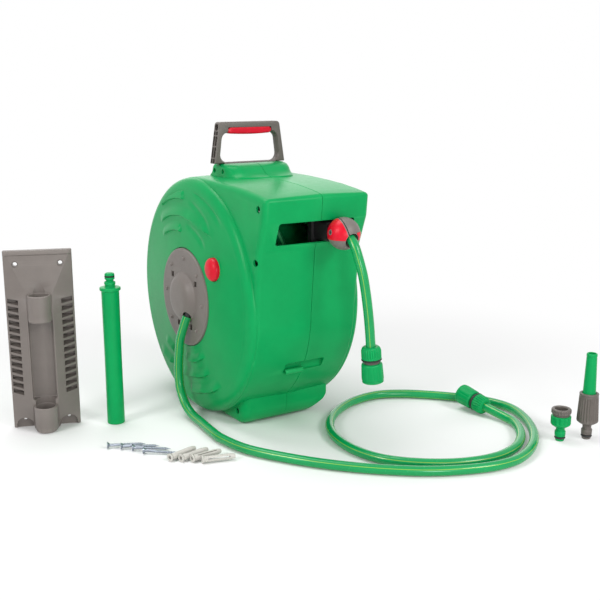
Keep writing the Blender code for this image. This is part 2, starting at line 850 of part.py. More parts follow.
def pocket_block(name, grow):
    """The recess in the lower front, or with grow the solid that its walls need."""
    surface = -math.sqrt(HOUSING_RADIUS**2 - (AXLE_HEIGHT - POCKET_HIGH) ** 2)
    low = (POCKET_LEFT - grow, surface - 3 * OVERRUN, POCKET_LOW - grow)
    high = (POCKET_RIGHT + grow, surface + POCKET_DEPTH + grow, POCKET_HIGH + grow)
    return block(name, low, high)


def handle_seat_cutter():
    reach = HANDLE_TENON_HALF + CLEARANCE
    front = HANDLE_FRONT - CLEARANCE
    back = HANDLE_FRONT + HANDLE_DEPTH + CLEARANCE
    floor = HUMP_TOP - HANDLE_SEAT_DEPTH - CLEARANCE
    low = (HANDLE_CENTRE - reach, front, floor)
    high = (HANDLE_CENTRE + reach, back, HUMP_TOP + OVERRUN)
    return block("handle_seat_cutter", low, high)


def foot_tongue(name, grow):
    """The strip that carries the left half's sole across the seam."""
    low = (-TONGUE_ROOT, -TONGUE_HALF - grow, -10 * grow)
    high = (TONGUE_REACH + grow, TONGUE_HALF + grow, WALL + 10 * grow)
    return block(name, low, high)


def knuckle(side):
    """Half of the rear barrel and its web, from which the reel hangs on its tube."""
    sign = SIDE_SIGN[side]
    start = SEAM_GAP / 2
    side_way = math.asin(KNUCKLE_WEB_HALF / KNUCKLE_RADIUS)
    seam_way = math.pi - math.asin(start / KNUCKLE_RADIUS)
    outline = [(start, KNUCKLE_ROOT), (KNUCKLE_WEB_HALF, KNUCKLE_ROOT)]
    for step in range(KNUCKLE_STEPS + 1):
        angle = side_way + (seam_way - side_way) * step / KNUCKLE_STEPS
        across = KNUCKLE_RADIUS * math.sin(angle)
        outline.append((across, KNUCKLE_CENTRE - KNUCKLE_RADIUS * math.cos(angle)))
    rings = [[Vector((sign * x, y, z)) for x, y in outline] for z in KNUCKLE_SPAN]
    return lofted("knuckle_" + side, rings)


def knuckle_bore():
    low, high = KNUCKLE_SPAN
    start = (0.0, KNUCKLE_CENTRE, low - OVERRUN)
    end = (0.0, KNUCKLE_CENTRE, high + OVERRUN)
    return rod("knuckle_bore", start, end, TUBE_RADIUS + TUBE_FIT, 18)


def hollow_of(side):
    """The space inside one half of the housing."""
    sign = SIDE_SIGN[side]
    width = HALF_WIDTH[side]
    start = -WALL
    sections = [
        (start, WALL),
        (width - EDGE_RADIUS, WALL + MOULD_DRAFT),
        (width - WALL, MOULD_DRAFT + EDGE_RADIUS),
    ]
    hollow = prism("hollow_" + side, body_outline(), signed(sections, sign))
    dish = turned("hollow_dish_" + side, dish_profile(side, WALL), centre=AXLE, steps=28)
    foot_rings = signed(foot_sections(start, WALL), sign)
    foot = prism("hollow_foot_" + side, foot_outline(WALL), foot_rings)
    hollow = joined(hollow, dish, foot)
    return cut(hollow, pocket_block("pocket_walls_" + side, WALL))


def button_guide(x_outer, x_inner):
    """The cup behind the brake button, moulded on the left half."""
    y, z = BUTTON_CENTRE
    outer = BUTTON_RADIUS + SLIDE_CLEARANCE + WALL
    return turned(
        "button_guide",
        [(0.0, x_inner), (outer, x_inner), (outer, x_outer), (0.0, x_outer)],
        centre=(0, y, z),
        steps=16,
    )


def button_face_x():
    """Where the dish's outer face lies at the brake button."""
    y, z = BUTTON_CENTRE
    radius = math.hypot(y, z - AXLE_HEIGHT)
    rim = HALF_WIDTH["left"] + DISH_STEP
    outer = DISH_WALL_RADIUS - DISH_DRAFT - RIM_RADIUS
    share = (outer - radius) / (outer - HUB_RADIUS - HUB_FIT)
    return -(rim + DISH_RISE * share)


def button_bore():
    y, z = BUTTON_CENTRE
    face = button_face_x()
    radius = BUTTON_RADIUS + SLIDE_CLEARANCE
    stem = BUTTON_STEM_RADIUS + SLIDE_CLEARANCE
    floor = face + BUTTON_CUP_FLOOR
    profile = [
        (0, face - OVERRUN),
        (radius, face - OVERRUN),
        (radius, floor),
        (stem, floor),
        (stem, floor + OVERRUN),
        (0, floor + OVERRUN),
    ]
    return turned("button_bore", profile, centre=(0, y, z), steps=16)


def shell_half(side):
    """One half of the housing, a hollow moulding that is open at the seam."""
    sign = SIDE_SIGN[side]
    width = HALF_WIDTH[side]
    start = SEAM_GAP / 2
    sections = edge_sections(start, width, EDGE_RADIUS, 0.0, MOULD_DRAFT)
    shell = prism(side + "_shell", body_outline(), signed(sections, sign))
    dish = turned("dish_" + side, dish_profile(side, 0.0), centre=AXLE, steps=32)
    foot = prism("foot_" + side, foot_outline(0), signed(foot_sections(start, 0), sign))
    hump_sections = edge_sections(start, HUMP_HALF_LENGTH, HUMP_EDGE, 0.0, 0.0)
    hump = prism("hump_" + side, HUMP_OUTLINE, signed(hump_sections, sign))
    shell = joined(shell, dish, foot, hump, knuckle(side))
    shell = cut(shell, hollow_of(side), knuckle_bore())
    if side == "left":
        face = button_face_x()
        shell = joined(shell, button_guide(face + BUTTON_CUP_START, face + BUTTON_CUP_END))
        shell = cut(shell, button_bore())
    pocket = pocket_block("pocket_" + side, 0.0)
    seat = hub_plane(side)
    shaft_hole = rod(
        "shaft_hole_" + side,
        (sign * (seat - 2 * OVERRUN), 0, AXLE_HEIGHT),
        (sign * (seat + OVERRUN), 0, AXLE_HEIGHT),
        SHAFT_RADIUS + CLEARANCE,
        16,
    )
    shell = cut(shell, slot_cutter(), pocket, handle_seat_cutter(), shaft_hole)
    if side == "left":
        shell = joined(shell, foot_tongue("foot_tongue", 0.0))
    else:
        shell = cut(shell, foot_tongue("tongue_notch", CLEARANCE))
    return finished(shell, green_plastic())


def hub_plane(side):
    """The outer face of the seat that a hub cover lies on."""
    return HALF_WIDTH[side] + DISH_STEP + DISH_RISE - HUB_SEAT_DEPTH


def inlet_cover():
    """The round cover with the dome that the leader hose comes out of."""
    back = -(hub_plane("left") + CLEARANCE)
    face = back - HUB_PLATE
    top = face - DOME_HEIGHT
    inside = DOME_RADIUS - DOME_WALL
    profile = [
        (0.0, top + DOME_WALL),
        (DOME_RADIUS - DOME_CREST, top + DOME_WALL + 0.0005),
        (inside - DOME_SHOULDER, top + DOME_WALL + 0.003),
        (inside, face - 0.001),
        (inside, back),
        (HUB_RADIUS, back),
        (HUB_RADIUS, face + HUB_EDGE),
        (HUB_RADIUS - HUB_EDGE, face),
        (DOME_RADIUS + 0.002, face - 0.0008),
        (DOME_RADIUS, face - 0.002),
        (DOME_RADIUS - DOME_SHOULDER, top + 0.003),
        (DOME_RADIUS - DOME_CREST, top + 0.0005),
        (0.0, top),
    ]
    cover = turned("inlet_cover", profile, centre=AXLE, steps=28)
    start, way = leader_start()
    radius = HOSE_DIAMETER / 2 + INLET_HOLE_FIT
    hole = rod("inlet_hole", start - way * INLET_HOLE_DEPTH, start + way * 2 * OVERRUN, radius, 20)
    return finished(cut(cover, hole), grey_plastic())


def leader_start():
    """Where the leader hose begins, and the way it points there."""
    start, ahead = smooth_route(LEADER_ROUTE, LEADER_STEP)[0][:2]
    return start, (ahead - start).normalized()


def spring_side_cover():
    back = hub_plane("right") + CLEARANCE
    face = back + HUB_PLATE
    profile = [
        (0.0, face + SPRING_BOSS_RISE),
        (SPRING_BOSS_RADIUS, face + SPRING_BOSS_RISE),
        (SPRING_BOSS_RADIUS + SPRING_BOSS_RISE, face + 0.001),
        (HUB_RADIUS - HUB_EDGE, face),
        (HUB_RADIUS, face - HUB_EDGE),
        (HUB_RADIUS, back),
        (0.0, back),
    ]
    return finished(turned("spring_side_cover", profile, centre=AXLE), grey_plastic())


def handle_outline():
    """The frame seen from the front, with the tenon that stands in the hump."""
    shoulder = HUMP_TOP + CLEARANCE
    foot = HUMP_TOP - HANDLE_SEAT_DEPTH
    right_corner, left_corner = HANDLE_CORNERS
    return [
        (HANDLE_CENTRE - HANDLE_FOOT_HALF, shoulder, 0),
        (HANDLE_CENTRE - HANDLE_TENON_HALF, shoulder, 0),
        (HANDLE_CENTRE - HANDLE_TENON_HALF, foot, 0),
        (HANDLE_CENTRE + HANDLE_TENON_HALF, foot, 0),
        (HANDLE_CENTRE + HANDLE_TENON_HALF, shoulder, 0),
        (HANDLE_CENTRE + HANDLE_FOOT_HALF, shoulder, 0),
        (HANDLE_CENTRE + HANDLE_TOP_HALF, HANDLE_TOP, right_corner),
        (HANDLE_CENTRE - HANDLE_TOP_HALF, HANDLE_TOP, left_corner),
    ]


def handle_frame():
    """The closed carrying frame, with its window, grip rebate and hollow end."""
    back = -(HANDLE_FRONT + HANDLE_DEPTH)
    front = -HANDLE_FRONT
    edge = HANDLE_EDGE
    sections = [(back, edge), (back + edge, 0), (front - edge, 0), (front, edge)]
    frame = prism("handle_frame", handle_outline(), sections, ALONG_Y)
    half = HANDLE_FOOT_HALF - HANDLE_BAR
    window = [
        (HANDLE_CENTRE - half, HANDLE_WINDOW_LOW, HANDLE_WINDOW_RADIUS),
        (HANDLE_CENTRE + half, HANDLE_WINDOW_LOW, HANDLE_WINDOW_RADIUS),
        (HANDLE_CENTRE + half - WINDOW_LEAN, HANDLE_WINDOW_HIGH, HANDLE_WINDOW_RADIUS),
        (HANDLE_CENTRE - half + WINDOW_LEAN, HANDLE_WINDOW_HIGH, HANDLE_WINDOW_RADIUS),
    ]
    reach = [(back - OVERRUN, 0), (front + OVERRUN, 0)]
    window_cut = prism("handle_window", window, reach, ALONG_Y)
    grip_half = GRIP_HALF + CLEARANCE
    grip_low = HANDLE_WINDOW_HIGH - GRIP_REBATE
    rebate = block(
        "grip_rebate",
        (HANDLE_CENTRE - grip_half, -front - OVERRUN, grip_low),
        (HANDLE_CENTRE + grip_half, -back + OVERRUN, HANDLE_WINDOW_HIGH + GRIP_HEIGHT),
    )
    middle = HANDLE_FRONT + HANDLE_DEPTH / 2
    bore_height = HANDLE_TOP - HANDLE_BORE_DEPTH
    bore = rod(
        "handle_bore",
        (HANDLE_CENTRE - HANDLE_FOOT_HALF - OVERRUN, middle, bore_height),
        (HANDLE_CENTRE - HANDLE_TOP_HALF + HANDLE_BORE_END, middle, bore_height),
        HANDLE_BORE,
        12,
    )
    frame = cut(frame, window_cut, rebate, bore, *end_pockets(bore_height))
    return finished(frame, grey_plastic())


def end_pockets(bore_height):
    """Two columns of pockets in the frame's left end, below the round hole."""
    middle = HANDLE_FRONT + HANDLE_DEPTH / 2
    start = HUMP_TOP + END_POCKET_RIB + END_POCKET_WALL
    pitch = (bore_height - 2 * HANDLE_BORE - HUMP_TOP) / END_POCKET_ROWS
    lean = (HANDLE_FOOT_HALF - HANDLE_TOP_HALF) / (END_POCKET_ROWS + 0.5)
    pockets = []
    for row in range(END_POCKET_ROWS):
        low = start + row * pitch
        high = low + pitch - END_POCKET_RIB
        side_x = HANDLE_CENTRE - HANDLE_FOOT_HALF + lean * (row + 1)
        for column in (-1, 1):
            near = middle + column * END_POCKET_WALL / 2
            far = middle + column * (HANDLE_DEPTH / 2 - END_POCKET_WALL)
            outer = (side_x - OVERRUN, min(near, far), low)
            inner = (side_x + END_POCKET_DEPTH, max(near, far), high)
            pockets.append(block("end_pocket", outer, inner))
    return pockets


def handle_grip():
    """The soft inlay under the top bar."""
    back = -(HANDLE_FRONT + HANDLE_DEPTH) - GRIP_OVERHANG
    front = -HANDLE_FRONT + GRIP_OVERHANG
    low = HANDLE_WINDOW_HIGH - GRIP_DROP
    high = HANDLE_WINDOW_HIGH + GRIP_HEIGHT - CLEARANCE
    section = [
        (-front, low, GRIP_EDGE),
        (-back, low, GRIP_EDGE),
        (-back, high, 0),
        (-front, high, 0),
    ]
    left, right = HANDLE_CENTRE - GRIP_HALF, HANDLE_CENTRE + GRIP_HALF
    inset = GRIP_END / 2
    sections = [(left, inset), (left + GRIP_END, 0), (right - GRIP_END, 0), (right, inset)]
    return finished(prism("handle_grip", section, sections), red_plastic())


def shaft_ends():
    left = -(hub_plane("left") + SHAFT_PROUD)
    right = hub_plane("right") - CLEARANCE
    return left, right


def main_shaft():
    """The fixed hollow axle, which carries water from the inlet to the drum."""
    left, right = shaft_ends()
    profile = [
        (0.0, right),
        (SHAFT_RADIUS, right),
        (SHAFT_RADIUS, left),
        (SHAFT_BORE, left),
        (SHAFT_BORE, 0.0),
        (0.0, 0.0),
    ]
    return finished(turned("main_shaft", profile, centre=AXLE, steps=20), inner_plastic())


def drum_bush(name, flange_inner, sign, drum):
    inner = SHAFT_RADIUS + CLEARANCE
    outer = inner + BUSH_WALL
    near = flange_inner - sign * BUSH_REACH
    far = flange_inner + sign * (FLANGE_THICKNESS + BUSH_PROUD)
    profile = [(inner, near), (outer, near), (outer, far), (inner, far)]
    bush = turned(name, profile, centre=AXLE, steps=16, closed=True)
    return finished(bush, plug_nylon(), AXLE, drum)


def drum_flange(name, flange_inner, sign, drum):
    """One side disc of the drum, with lightening holes between the ribs."""
    bore = SHAFT_RADIUS + 2 * CLEARANCE + BUSH_WALL
    outer = flange_inner + sign * FLANGE_THICKNESS
    profile = [
        (bore, flange_inner),
        (FLANGE_RADIUS, flange_inner),
        (FLANGE_RADIUS, outer),
        (bore, outer),
    ]
    flange = turned(name, profile, centre=AXLE, closed=True)
    for index in range(LIGHTENING_HOLES):
        angle = 2 * math.pi * (index + 0.5) / LIGHTENING_HOLES
        y = LIGHTENING_CIRCLE * math.cos(angle)
        z = AXLE_HEIGHT + LIGHTENING_CIRCLE * math.sin(angle)
        start = (flange_inner - sign * OVERRUN, y, z)
        end = (outer + sign * OVERRUN, y, z)
        flange = cut(flange, rod("lightening_hole", start, end, LIGHTENING_RADIUS, 8))
    return finished(flange, inner_plastic(), AXLE, drum)


def ring(name, inner, outer, start, end, steps, finish, drum):
    profile = [(inner, start), (outer, start), (outer, end), (inner, end)]
    made = turned(name, profile, centre=AXLE, steps=steps, closed=True)
    return finished(made, finish, AXLE, drum)


def drum_core(drum):
    start = FLANGE_LEFT + CLEARANCE
    end = FLANGE_RIGHT - CLEARANCE
    inner = CORE_RADIUS - CORE_WALL
    return ring("drum_core", inner, CORE_RADIUS, start, end, 32, inner_plastic(), drum)


def wound_hose_core(drum):
    """The inner layers of hose, which the outer layer hides, as one plain ring."""
    start = FLANGE_LEFT + CLEARANCE
    end = FLANGE_RIGHT - CLEARANCE
    chord = WINDING_RADIUS * math.cos(math.pi / LOOP_POINTS)
    outer = chord - HOSE_DIAMETER / 2 - CLEARANCE
    inner = CORE_RADIUS + CLEARANCE
    return ring("wound_hose_core", inner, outer, start, end, 32, hose_vinyl(), drum)


def winding_points():
    """The outer layer, one unbroken helix whose two ends run straight."""
    pitch = HOSE_DIAMETER + WINDING_GAP
    first = FLANGE_LEFT + HOSE_DIAMETER / 2 + WINDING_GAP
    last = BALL_CENTRE[0] - pitch
    turns = (last - first) / pitch
    count = round(turns * LOOP_POINTS)
    points = []
    for step in range(count + 1):
        angle = WINDING_END_ANGLE - 2 * math.pi * turns * (1 - step / count)
        across = WINDING_RADIUS * math.cos(angle)
        height = AXLE_HEIGHT + WINDING_RADIUS * math.sin(angle)
        points.append(Vector((first + (last - first) * step / count, across, height)))
    for place, neighbour, way in ((0, 1, 1), (len(points) + 1, -2, -1)):
        end = points[0] if way == 1 else points[-1]
        radial = Vector((0.0, end.y, end.z - AXLE_HEIGHT)).normalized()
        tangent = Vector((1.0, 0.0, 0.0)).cross(radial) * -way
        points.insert(place, end + tangent * HOSE_DIAMETER)
    return points


def least_winding_gap(points):
    """The smallest space between stretches of the winding over half a turn apart."""
    least = 1.0
    apart = LOOP_POINTS // 2
    for i, point in enumerate(points):
        for j in range(i + apart, len(points) - 1):
            a, b = points[j], points[j + 1]
            along = (point - a).dot(b - a) / (b - a).length_squared
            nearest = a.lerp(b, min(max(along, 0.0), 1.0))
            least = min(least, (point - nearest).length)
    return least - HOSE_DIAMETER


def hose_winding(drum):
    points = winding_points()
    print("least gap in the winding: %.2f mm" % (1000 * least_winding_gap(points)))
    winding = tube("hose_winding", points, HOSE_DIAMETER / 2, 1)
    return finished(winding, hose_vinyl(), AXLE, drum)


def spring_case(drum):
    """The cup on the drum's right flange that holds the power spring."""
    near = FLANGE_RIGHT + FLANGE_THICKNESS + CASE_GAP
    far = near + CASE_LENGTH
    floor = CASE_WALL
    bore = SHAFT_RADIUS + 2 * CLEARANCE
    profile = [
        (bore, near),
        (CASE_RADIUS, near),
        (CASE_RADIUS, far),
        (CASE_RADIUS - floor, far),
        (CASE_RADIUS - floor, near + floor),
        (bore, near + floor),
    ]
    case = turned("spring_case", profile, centre=AXLE, steps=24, closed=True)
    return finished(case, inner_plastic(), AXLE, drum)


def power_spring():
    """The flat steel spiral between the fixed axle and the turning case."""
    near = FLANGE_RIGHT + FLANGE_THICKNESS + CASE_GAP + CASE_WALL + SPRING_SIDE_GAP
    inner = SHAFT_RADIUS + CLEARANCE + SPRING_THICKNESS
    outer = CASE_RADIUS - CASE_WALL - SPRING_RIM_GAP
    count = SPRING_TURNS * SPRING_TURN_POINTS
    inside, outside = [], []
    for step in range(count + 1):
        angle = 2 * math.pi * step / SPRING_TURN_POINTS
        radius = inner + (outer - inner) * step / count
        way = Vector((math.cos(angle), math.sin(angle)))
        inside.append(way * (radius - SPRING_THICKNESS))
        outside.append(way * radius)
    outline = outside + inside[::-1]
    centred = [(p.x, p.y + AXLE_HEIGHT, 0) for p in outline]
    spring = prism("power_spring", centred, [(near, 0), (near + SPRING_WIDTH, 0)])
    return finished(spring, spring_steel())


def gear_outline(teeth, centre, phase):
    """Pointed teeth, thinner than their gaps so that meshing gears run free."""
    pitch_radius = teeth * GEAR_MODULE / 2
    outline = []
    for index in range(2 * teeth):
        radius = pitch_radius + (TOOTH_TIP if index % 2 == 0 else -TOOTH_ROOT)
        angle = phase + math.pi * index / teeth
        point = Vector(centre) + radius * Vector((math.cos(angle), math.sin(angle)))
        outline.append((*point, 0))
    return outline


def gear_plane():
    return FLANGE_RIGHT + FLANGE_THICKNESS + GEAR_GAP


def traverse_centre():
    distance = GEAR_MODULE * (DRUM_TEETH / 2 + IDLER_TEETH + SCREW_TEETH / 2)
    way = Vector((math.cos(TRAVERSE_DIRECTION), math.sin(TRAVERSE_DIRECTION)))
    return Vector((0.0, AXLE_HEIGHT)) + way * distance


def idler_centre():
    distance = GEAR_MODULE * (DRUM_TEETH + IDLER_TEETH) / 2
    way = Vector((math.cos(TRAVERSE_DIRECTION), math.sin(TRAVERSE_DIRECTION)))
    return Vector((0.0, AXLE_HEIGHT)) + way * distance


def gear(name, teeth, centre, phase, bore, parent):
    start = gear_plane()
    outline = gear_outline(teeth, centre, phase)
    made = prism(name, outline, [(start, 0), (start + GEAR_WIDTH, 0)])
    y, z = centre
    pivot = (start, y, z)
    low = (start - OVERRUN, y, z)
    high = (start + GEAR_WIDTH + OVERRUN, y, z)
    hole = rod(name + "_bore", low, high, bore, 24)
    return finished(cut(made, hole), plug_nylon(), pivot, parent)


def level_wind_gears(drum, idler, traverse):
    """The drum's gear ring, the idler and the small gear on the traverse screw."""
    ahead = TRAVERSE_DIRECTION
    facing = TRAVERSE_DIRECTION + math.pi
    axle = (0.0, AXLE_HEIGHT)
    gear("drum_gear", DRUM_TEETH, axle, ahead, CASE_RADIUS + CLEARANCE, drum)
    idler_phase = facing + math.pi / IDLER_TEETH
    bore = IDLER_PIN_RADIUS + CLEARANCE
    gear("idler_gear", IDLER_TEETH, idler_centre(), idler_phase, bore, idler)
    offset = (ahead - idler_phase) / (2 * math.pi / IDLER_TEETH)
    share = offset - math.floor(offset)
    screw_phase = facing + (share + 0.5) * 2 * math.pi / SCREW_TEETH
    bore = TRAVERSE_RADIUS + CLEARANCE
    gear("screw_gear", SCREW_TEETH, traverse_centre(), screw_phase, bore, traverse)


def idler_pin():
    y, z = idler_centre()
    start = gear_plane() - IDLER_PIN_REACH
    radius = (idler_centre() - Vector((0.0, AXLE_HEIGHT))).length
    rim = HALF_WIDTH["right"] + DISH_STEP
    outer = DISH_WALL_RADIUS - WALL - DISH_DRAFT - RIM_RADIUS
    share = (outer - radius) / (outer - HUB_RADIUS - HUB_FIT - WALL)
    end = rim - WALL + DISH_RISE * share - IDLER_PIN_GAP
    return finished(rod("idler_pin", (start, y, z), (end, y, z), IDLER_PIN_RADIUS), spring_steel())


def side_walls():
    return -(HALF_WIDTH["left"] - WALL) + CLEARANCE, HALF_WIDTH["right"] - WALL - CLEARANCE


def traverse_screw(traverse):
    left, right = side_walls()
    y, z = traverse_centre()
    screw = rod("traverse_screw", (left, y, z), (right, y, z), TRAVERSE_RADIUS)
    return finished(screw, inner_plastic(), (0.0, y, z), traverse)


def guide_rod():
    left, right = side_walls()
    y = traverse_centre().x
    start, end = (left, y, GUIDE_ROD_HEIGHT), (right, y, GUIDE_ROD_HEIGHT)
    return finished(rod("guide_rod", start, end, GUIDE_ROD_RADIUS), spring_steel())


def feed_line():
    """Where the hose runs from the winding's top to the middle of the stop ball."""
    start = Vector(
        (
            BALL_CENTRE[0],
            WINDING_RADIUS * math.cos(WINDING_END_ANGLE),
            AXLE_HEIGHT + WINDING_RADIUS * math.sin(WINDING_END_ANGLE),
        )
    )
    return start, Vector(BALL_CENTRE)


def hose_carriage(carriage):
    """The slider that lays the hose: nut, slide, plate and the mouth in the slot."""
    x = BALL_CENTRE[0]
    y, z = traverse_centre()
    front = y - CARRIAGE_THICKNESS / 2
    back = y + CARRIAGE_THICKNESS / 2
    plate = block(
        "hose_carriage",
        (x - CARRIAGE_HALF, front, z),
        (x + CARRIAGE_HALF, back, GUIDE_ROD_HEIGHT),
    )
    half = CARRIAGE_HALF + NUT_PROUD
    nut = rod("nut", (x - half, y, z), (x + half, y, z), NUT_RADIUS)
    low, high = (x - half, y, GUIDE_ROD_HEIGHT), (x + half, y, GUIDE_ROD_HEIGHT)
    slide = rod("slide", low, high, GUIDE_ROD_RADIUS + SLIDE_WALL, 12)
    middle = BALL_CENTRE[2]
    corners = [
        (x - MOUTH_HALF, middle - MOUTH_HALF_HEIGHT, MOUTH_CORNER),
        (x + MOUTH_HALF, middle - MOUTH_HALF_HEIGHT, MOUTH_CORNER),
        (x + MOUTH_HALF, middle + MOUTH_HALF_HEIGHT, MOUTH_CORNER),
        (x - MOUTH_HALF, middle + MOUTH_HALF_HEIGHT, MOUTH_CORNER),
    ]
    reach = [(-back + MOUTH_ROOT, 0), (-BALL_CENTRE[1] - MOUTH_SEAT, 0)]
    mouth = prism("mouth", corners, reach, ALONG_Y, 2)
    start, end = feed_line()
    bore = rod("feed_bore", start, end, HOSE_DIAMETER / 2 + CLEARANCE, 16)
    arc = ball_arc(BALL_RADIUS + 3 * CLEARANCE, 12)
    seat = turned("ball_seat", arc, Matrix.Identity(4), BALL_CENTRE, 24)
    body = joined(plate, nut, slide, mouth)
    half += OVERRUN
    low, high = (x - half, y, z), (x + half, y, z)
    screw_bore = rod("screw_bore", low, high, TRAVERSE_RADIUS + SLIDE_CLEARANCE)
    low, high = (x - half, y, GUIDE_ROD_HEIGHT), (x + half, y, GUIDE_ROD_HEIGHT)
    rod_bore = rod("rod_bore", low, high, GUIDE_ROD_RADIUS + SLIDE_CLEARANCE)
    body = cut(body, bore, seat, screw_bore, rod_bore)
    return finished(body, inner_plastic(), (x, y, z), carriage)


def ball_arc(radius, steps):
    points = []
    for step in range(steps + 1):
        angle = math.pi / 2 - math.pi * step / steps
        points.append((radius * math.cos(angle), radius * math.sin(angle)))
    return points


def feed_hose(carriage):
    """The hose from beyond the turning drum's reach to the stop ball."""
    start, end = feed_line()
    way = (end - start).normalized()
    swept = WINDING_RADIUS + HOSE_DIAMETER + FEED_START_GAP
    first = start + way * math.sqrt(swept**2 - WINDING_RADIUS**2)
    last = end - way * FEED_END_GAP
    hose = tube("feed_hose", (first, last), HOSE_DIAMETER / 2)
    return finished(hose, hose_vinyl(), BALL_CENTRE, carriage)


def ball_half(name, sign, carriage):
    """One half of the two-part stop that clamps on the hose."""
    ball = turned(name, ball_arc(BALL_RADIUS, 10), Matrix.Identity(4), BALL_CENTRE, 20)
    start, end = feed_line()
    bore_in = rod("ball_bore_in", start, end, HOSE_DIAMETER / 2 + CLEARANCE, 14)
    outlet = Vector(OUTLET_ROUTE[0])
    way = (Vector(OUTLET_ROUTE[1]) - outlet).normalized()
    mouth = HOSE_DIAMETER / 2 + BALL_OUTLET_FIT
    low, high = outlet - way * BALL_OUTLET_DEPTH, outlet + way * 2 * OVERRUN
    bore_out = rod("ball_bore_out", low, high, mouth, 14)
    far = 2 * BALL_RADIUS + OVERRUN
    low, high = (BALL_SPLIT_GAP / 2 - far, BALL_SPLIT_GAP / 2)
    half_space = block("half_space", (low, -far, -far), (high, far, far))
    if sign > 0:
        half_space.data.transform(Matrix.Rotation(math.pi, 4, "Z"))
    turn = Matrix.Rotation(-BALL_SPLIT_TILT, 4, "Y")
    half_space.data.transform(Matrix.Translation(BALL_CENTRE) @ turn)
    half_space.data.update()
    shape = cut(ball, half_space, bore_in, bore_out)
    return finished(shape, red_plastic(), BALL_CENTRE, carriage)


def outlet_hose(carriage):
    points, length = smooth_route(OUTLET_ROUTE, OUTLET_STEP)
    print("outlet hose: %.3f m" % length)
    hose = tube("outlet_hose", points, HOSE_DIAMETER / 2)
    return finished(hose, hose_vinyl(), BALL_CENTRE, carriage)


def leader_hose():
    points, length = smooth_route(LEADER_ROUTE, LEADER_STEP)
    print("leader hose: %.3f m" % length)
    return finished(tube("leader_hose", points, HOSE_DIAMETER / 2), hose_vinyl())


def connector(prefix, hose_end, tip, parent, sleeve_body):
    """A quick connector on a hose end: clamping nut, body and release sleeve."""
    way = (Vector(tip) - Vector(hose_end)).normalized()
    start = Vector(hose_end) - way * HOSE_INSERTION
    lay = laid_along(start, start + way)
    nut_inner = HOSE_DIAMETER / 2 + CLEARANCE
    thread = CONNECTOR_THREAD
    shoulder = HOSE_INSERTION + CLEARANCE
    nut_end = CONNECTOR_NUT_LENGTH
    flange_end = nut_end + CLEARANCE + CONNECTOR_FLANGE_LENGTH
    sleeve_start = flange_end + CONNECTOR_SLEEVE_GAP
    sleeve_end = sleeve_start + CONNECTOR_SLEEVE_LENGTH
    nut = turned(
        prefix + "_nut",
        [
            (nut_inner, 0.0),
            (CONNECTOR_NUT_RADIUS - 0.0017, 0.0),
            (CONNECTOR_NUT_RADIUS, 0.003),
            (CONNECTOR_NUT_RADIUS, nut_end),
            (thread + CLEARANCE, nut_end),
            (thread + CLEARANCE, shoulder),
            (nut_inner, shoulder),
        ],
        lay,
        steps=16,
        closed=True,
    )
    body = turned(
        prefix + "_body",
        [
            (CONNECTOR_BORE, shoulder + CLEARANCE),
            (thread, shoulder + CLEARANCE),
            (thread, nut_end + CLEARANCE),
            (CONNECTOR_FLANGE_RADIUS, nut_end + CLEARANCE),
            (CONNECTOR_FLANGE_RADIUS, flange_end),
            (CONNECTOR_NECK_RADIUS, flange_end),
            (CONNECTOR_NECK_RADIUS, CONNECTOR_LENGTH - CONNECTOR_LIP),
            (CONNECTOR_SOCKET, CONNECTOR_LENGTH - CONNECTOR_LIP),
            (CONNECTOR_SOCKET, CONNECTOR_SOCKET_FLOOR),
            (CONNECTOR_BORE, CONNECTOR_SOCKET_FLOOR),
        ],
        lay,
        steps=16,
        closed=True,
    )
    inner = CONNECTOR_NECK_RADIUS + SLIDE_CLEARANCE
    sleeve = turned(
        prefix + "_sleeve",
        [
            (inner, sleeve_start),
            (CONNECTOR_SLEEVE_RADIUS - 0.0028, sleeve_start),
            (CONNECTOR_SLEEVE_RADIUS - 0.0004, sleeve_start + 0.006),
            (CONNECTOR_SLEEVE_RADIUS, sleeve_start + 0.020),
            (CONNECTOR_SLEEVE_RADIUS - 0.0006, sleeve_end),
            (inner, sleeve_end),
        ],
        lay,
        steps=16,
        closed=True,
    )
    finished(nut, green_plastic(), start, parent)
    finished(body, grey_plastic(), start, parent)
    finished(sleeve, green_plastic(), start, sleeve_body)


def inlet_elbow():
    """The swivel on the axle's end that turns the water down to the leader hose."""
    left, _ = shaft_ends()
    inner = SHAFT_RADIUS + CLEARANCE
    seal = 2 * ORING_RADIUS + 2 * CLEARANCE
    cup = turned(
        "inlet_elbow",
        [
            (0.0, left - seal),
            (inner, left - seal),
            (inner, left + ELBOW_SKIRT),
            (inner + ELBOW_WALL, left + ELBOW_SKIRT),
            (inner + ELBOW_WALL, left - seal - ELBOW_WALL),
            (0.0, left - seal - ELBOW_WALL),
        ],
        centre=AXLE,
        steps=20,
    )
    start, way = leader_start()
    end = start - way * CLEARANCE
    middle = Vector((left - CLEARANCE, 0.0, AXLE_HEIGHT - ELBOW_DROP))
    bend = end - way * ELBOW_STUB
    branch = tube("elbow_branch", (middle, bend, end), ELBOW_BRANCH_RADIUS, 1)
    low, high = (left + OVERRUN, 0, AXLE_HEIGHT), (left - seal, 0, AXLE_HEIGHT)
    hollow = rod("elbow_hollow", low, high, inner, 20)
    return finished(cut(joined(cup, branch), hollow), inner_plastic())


def torus(name, centre, major, minor, along, steps=14, sides=5):
    points = []
    for step in range(sides):
        angle = -2 * math.pi * (step + 0.5) / sides
        points.append((major + minor * math.cos(angle), minor * math.sin(angle)))
    return turned(name, points, along, centre, steps, closed=True)


def inlet_seal():
    left, _ = shaft_ends()
    centre = (left - ORING_RADIUS - CLEARANCE, 0, AXLE_HEIGHT)
    ring_seal = torus("inlet_seal", centre, SHAFT_RADIUS - 0.0025, ORING_RADIUS, ALONG_X)
    return finished(ring_seal, black_rubber())


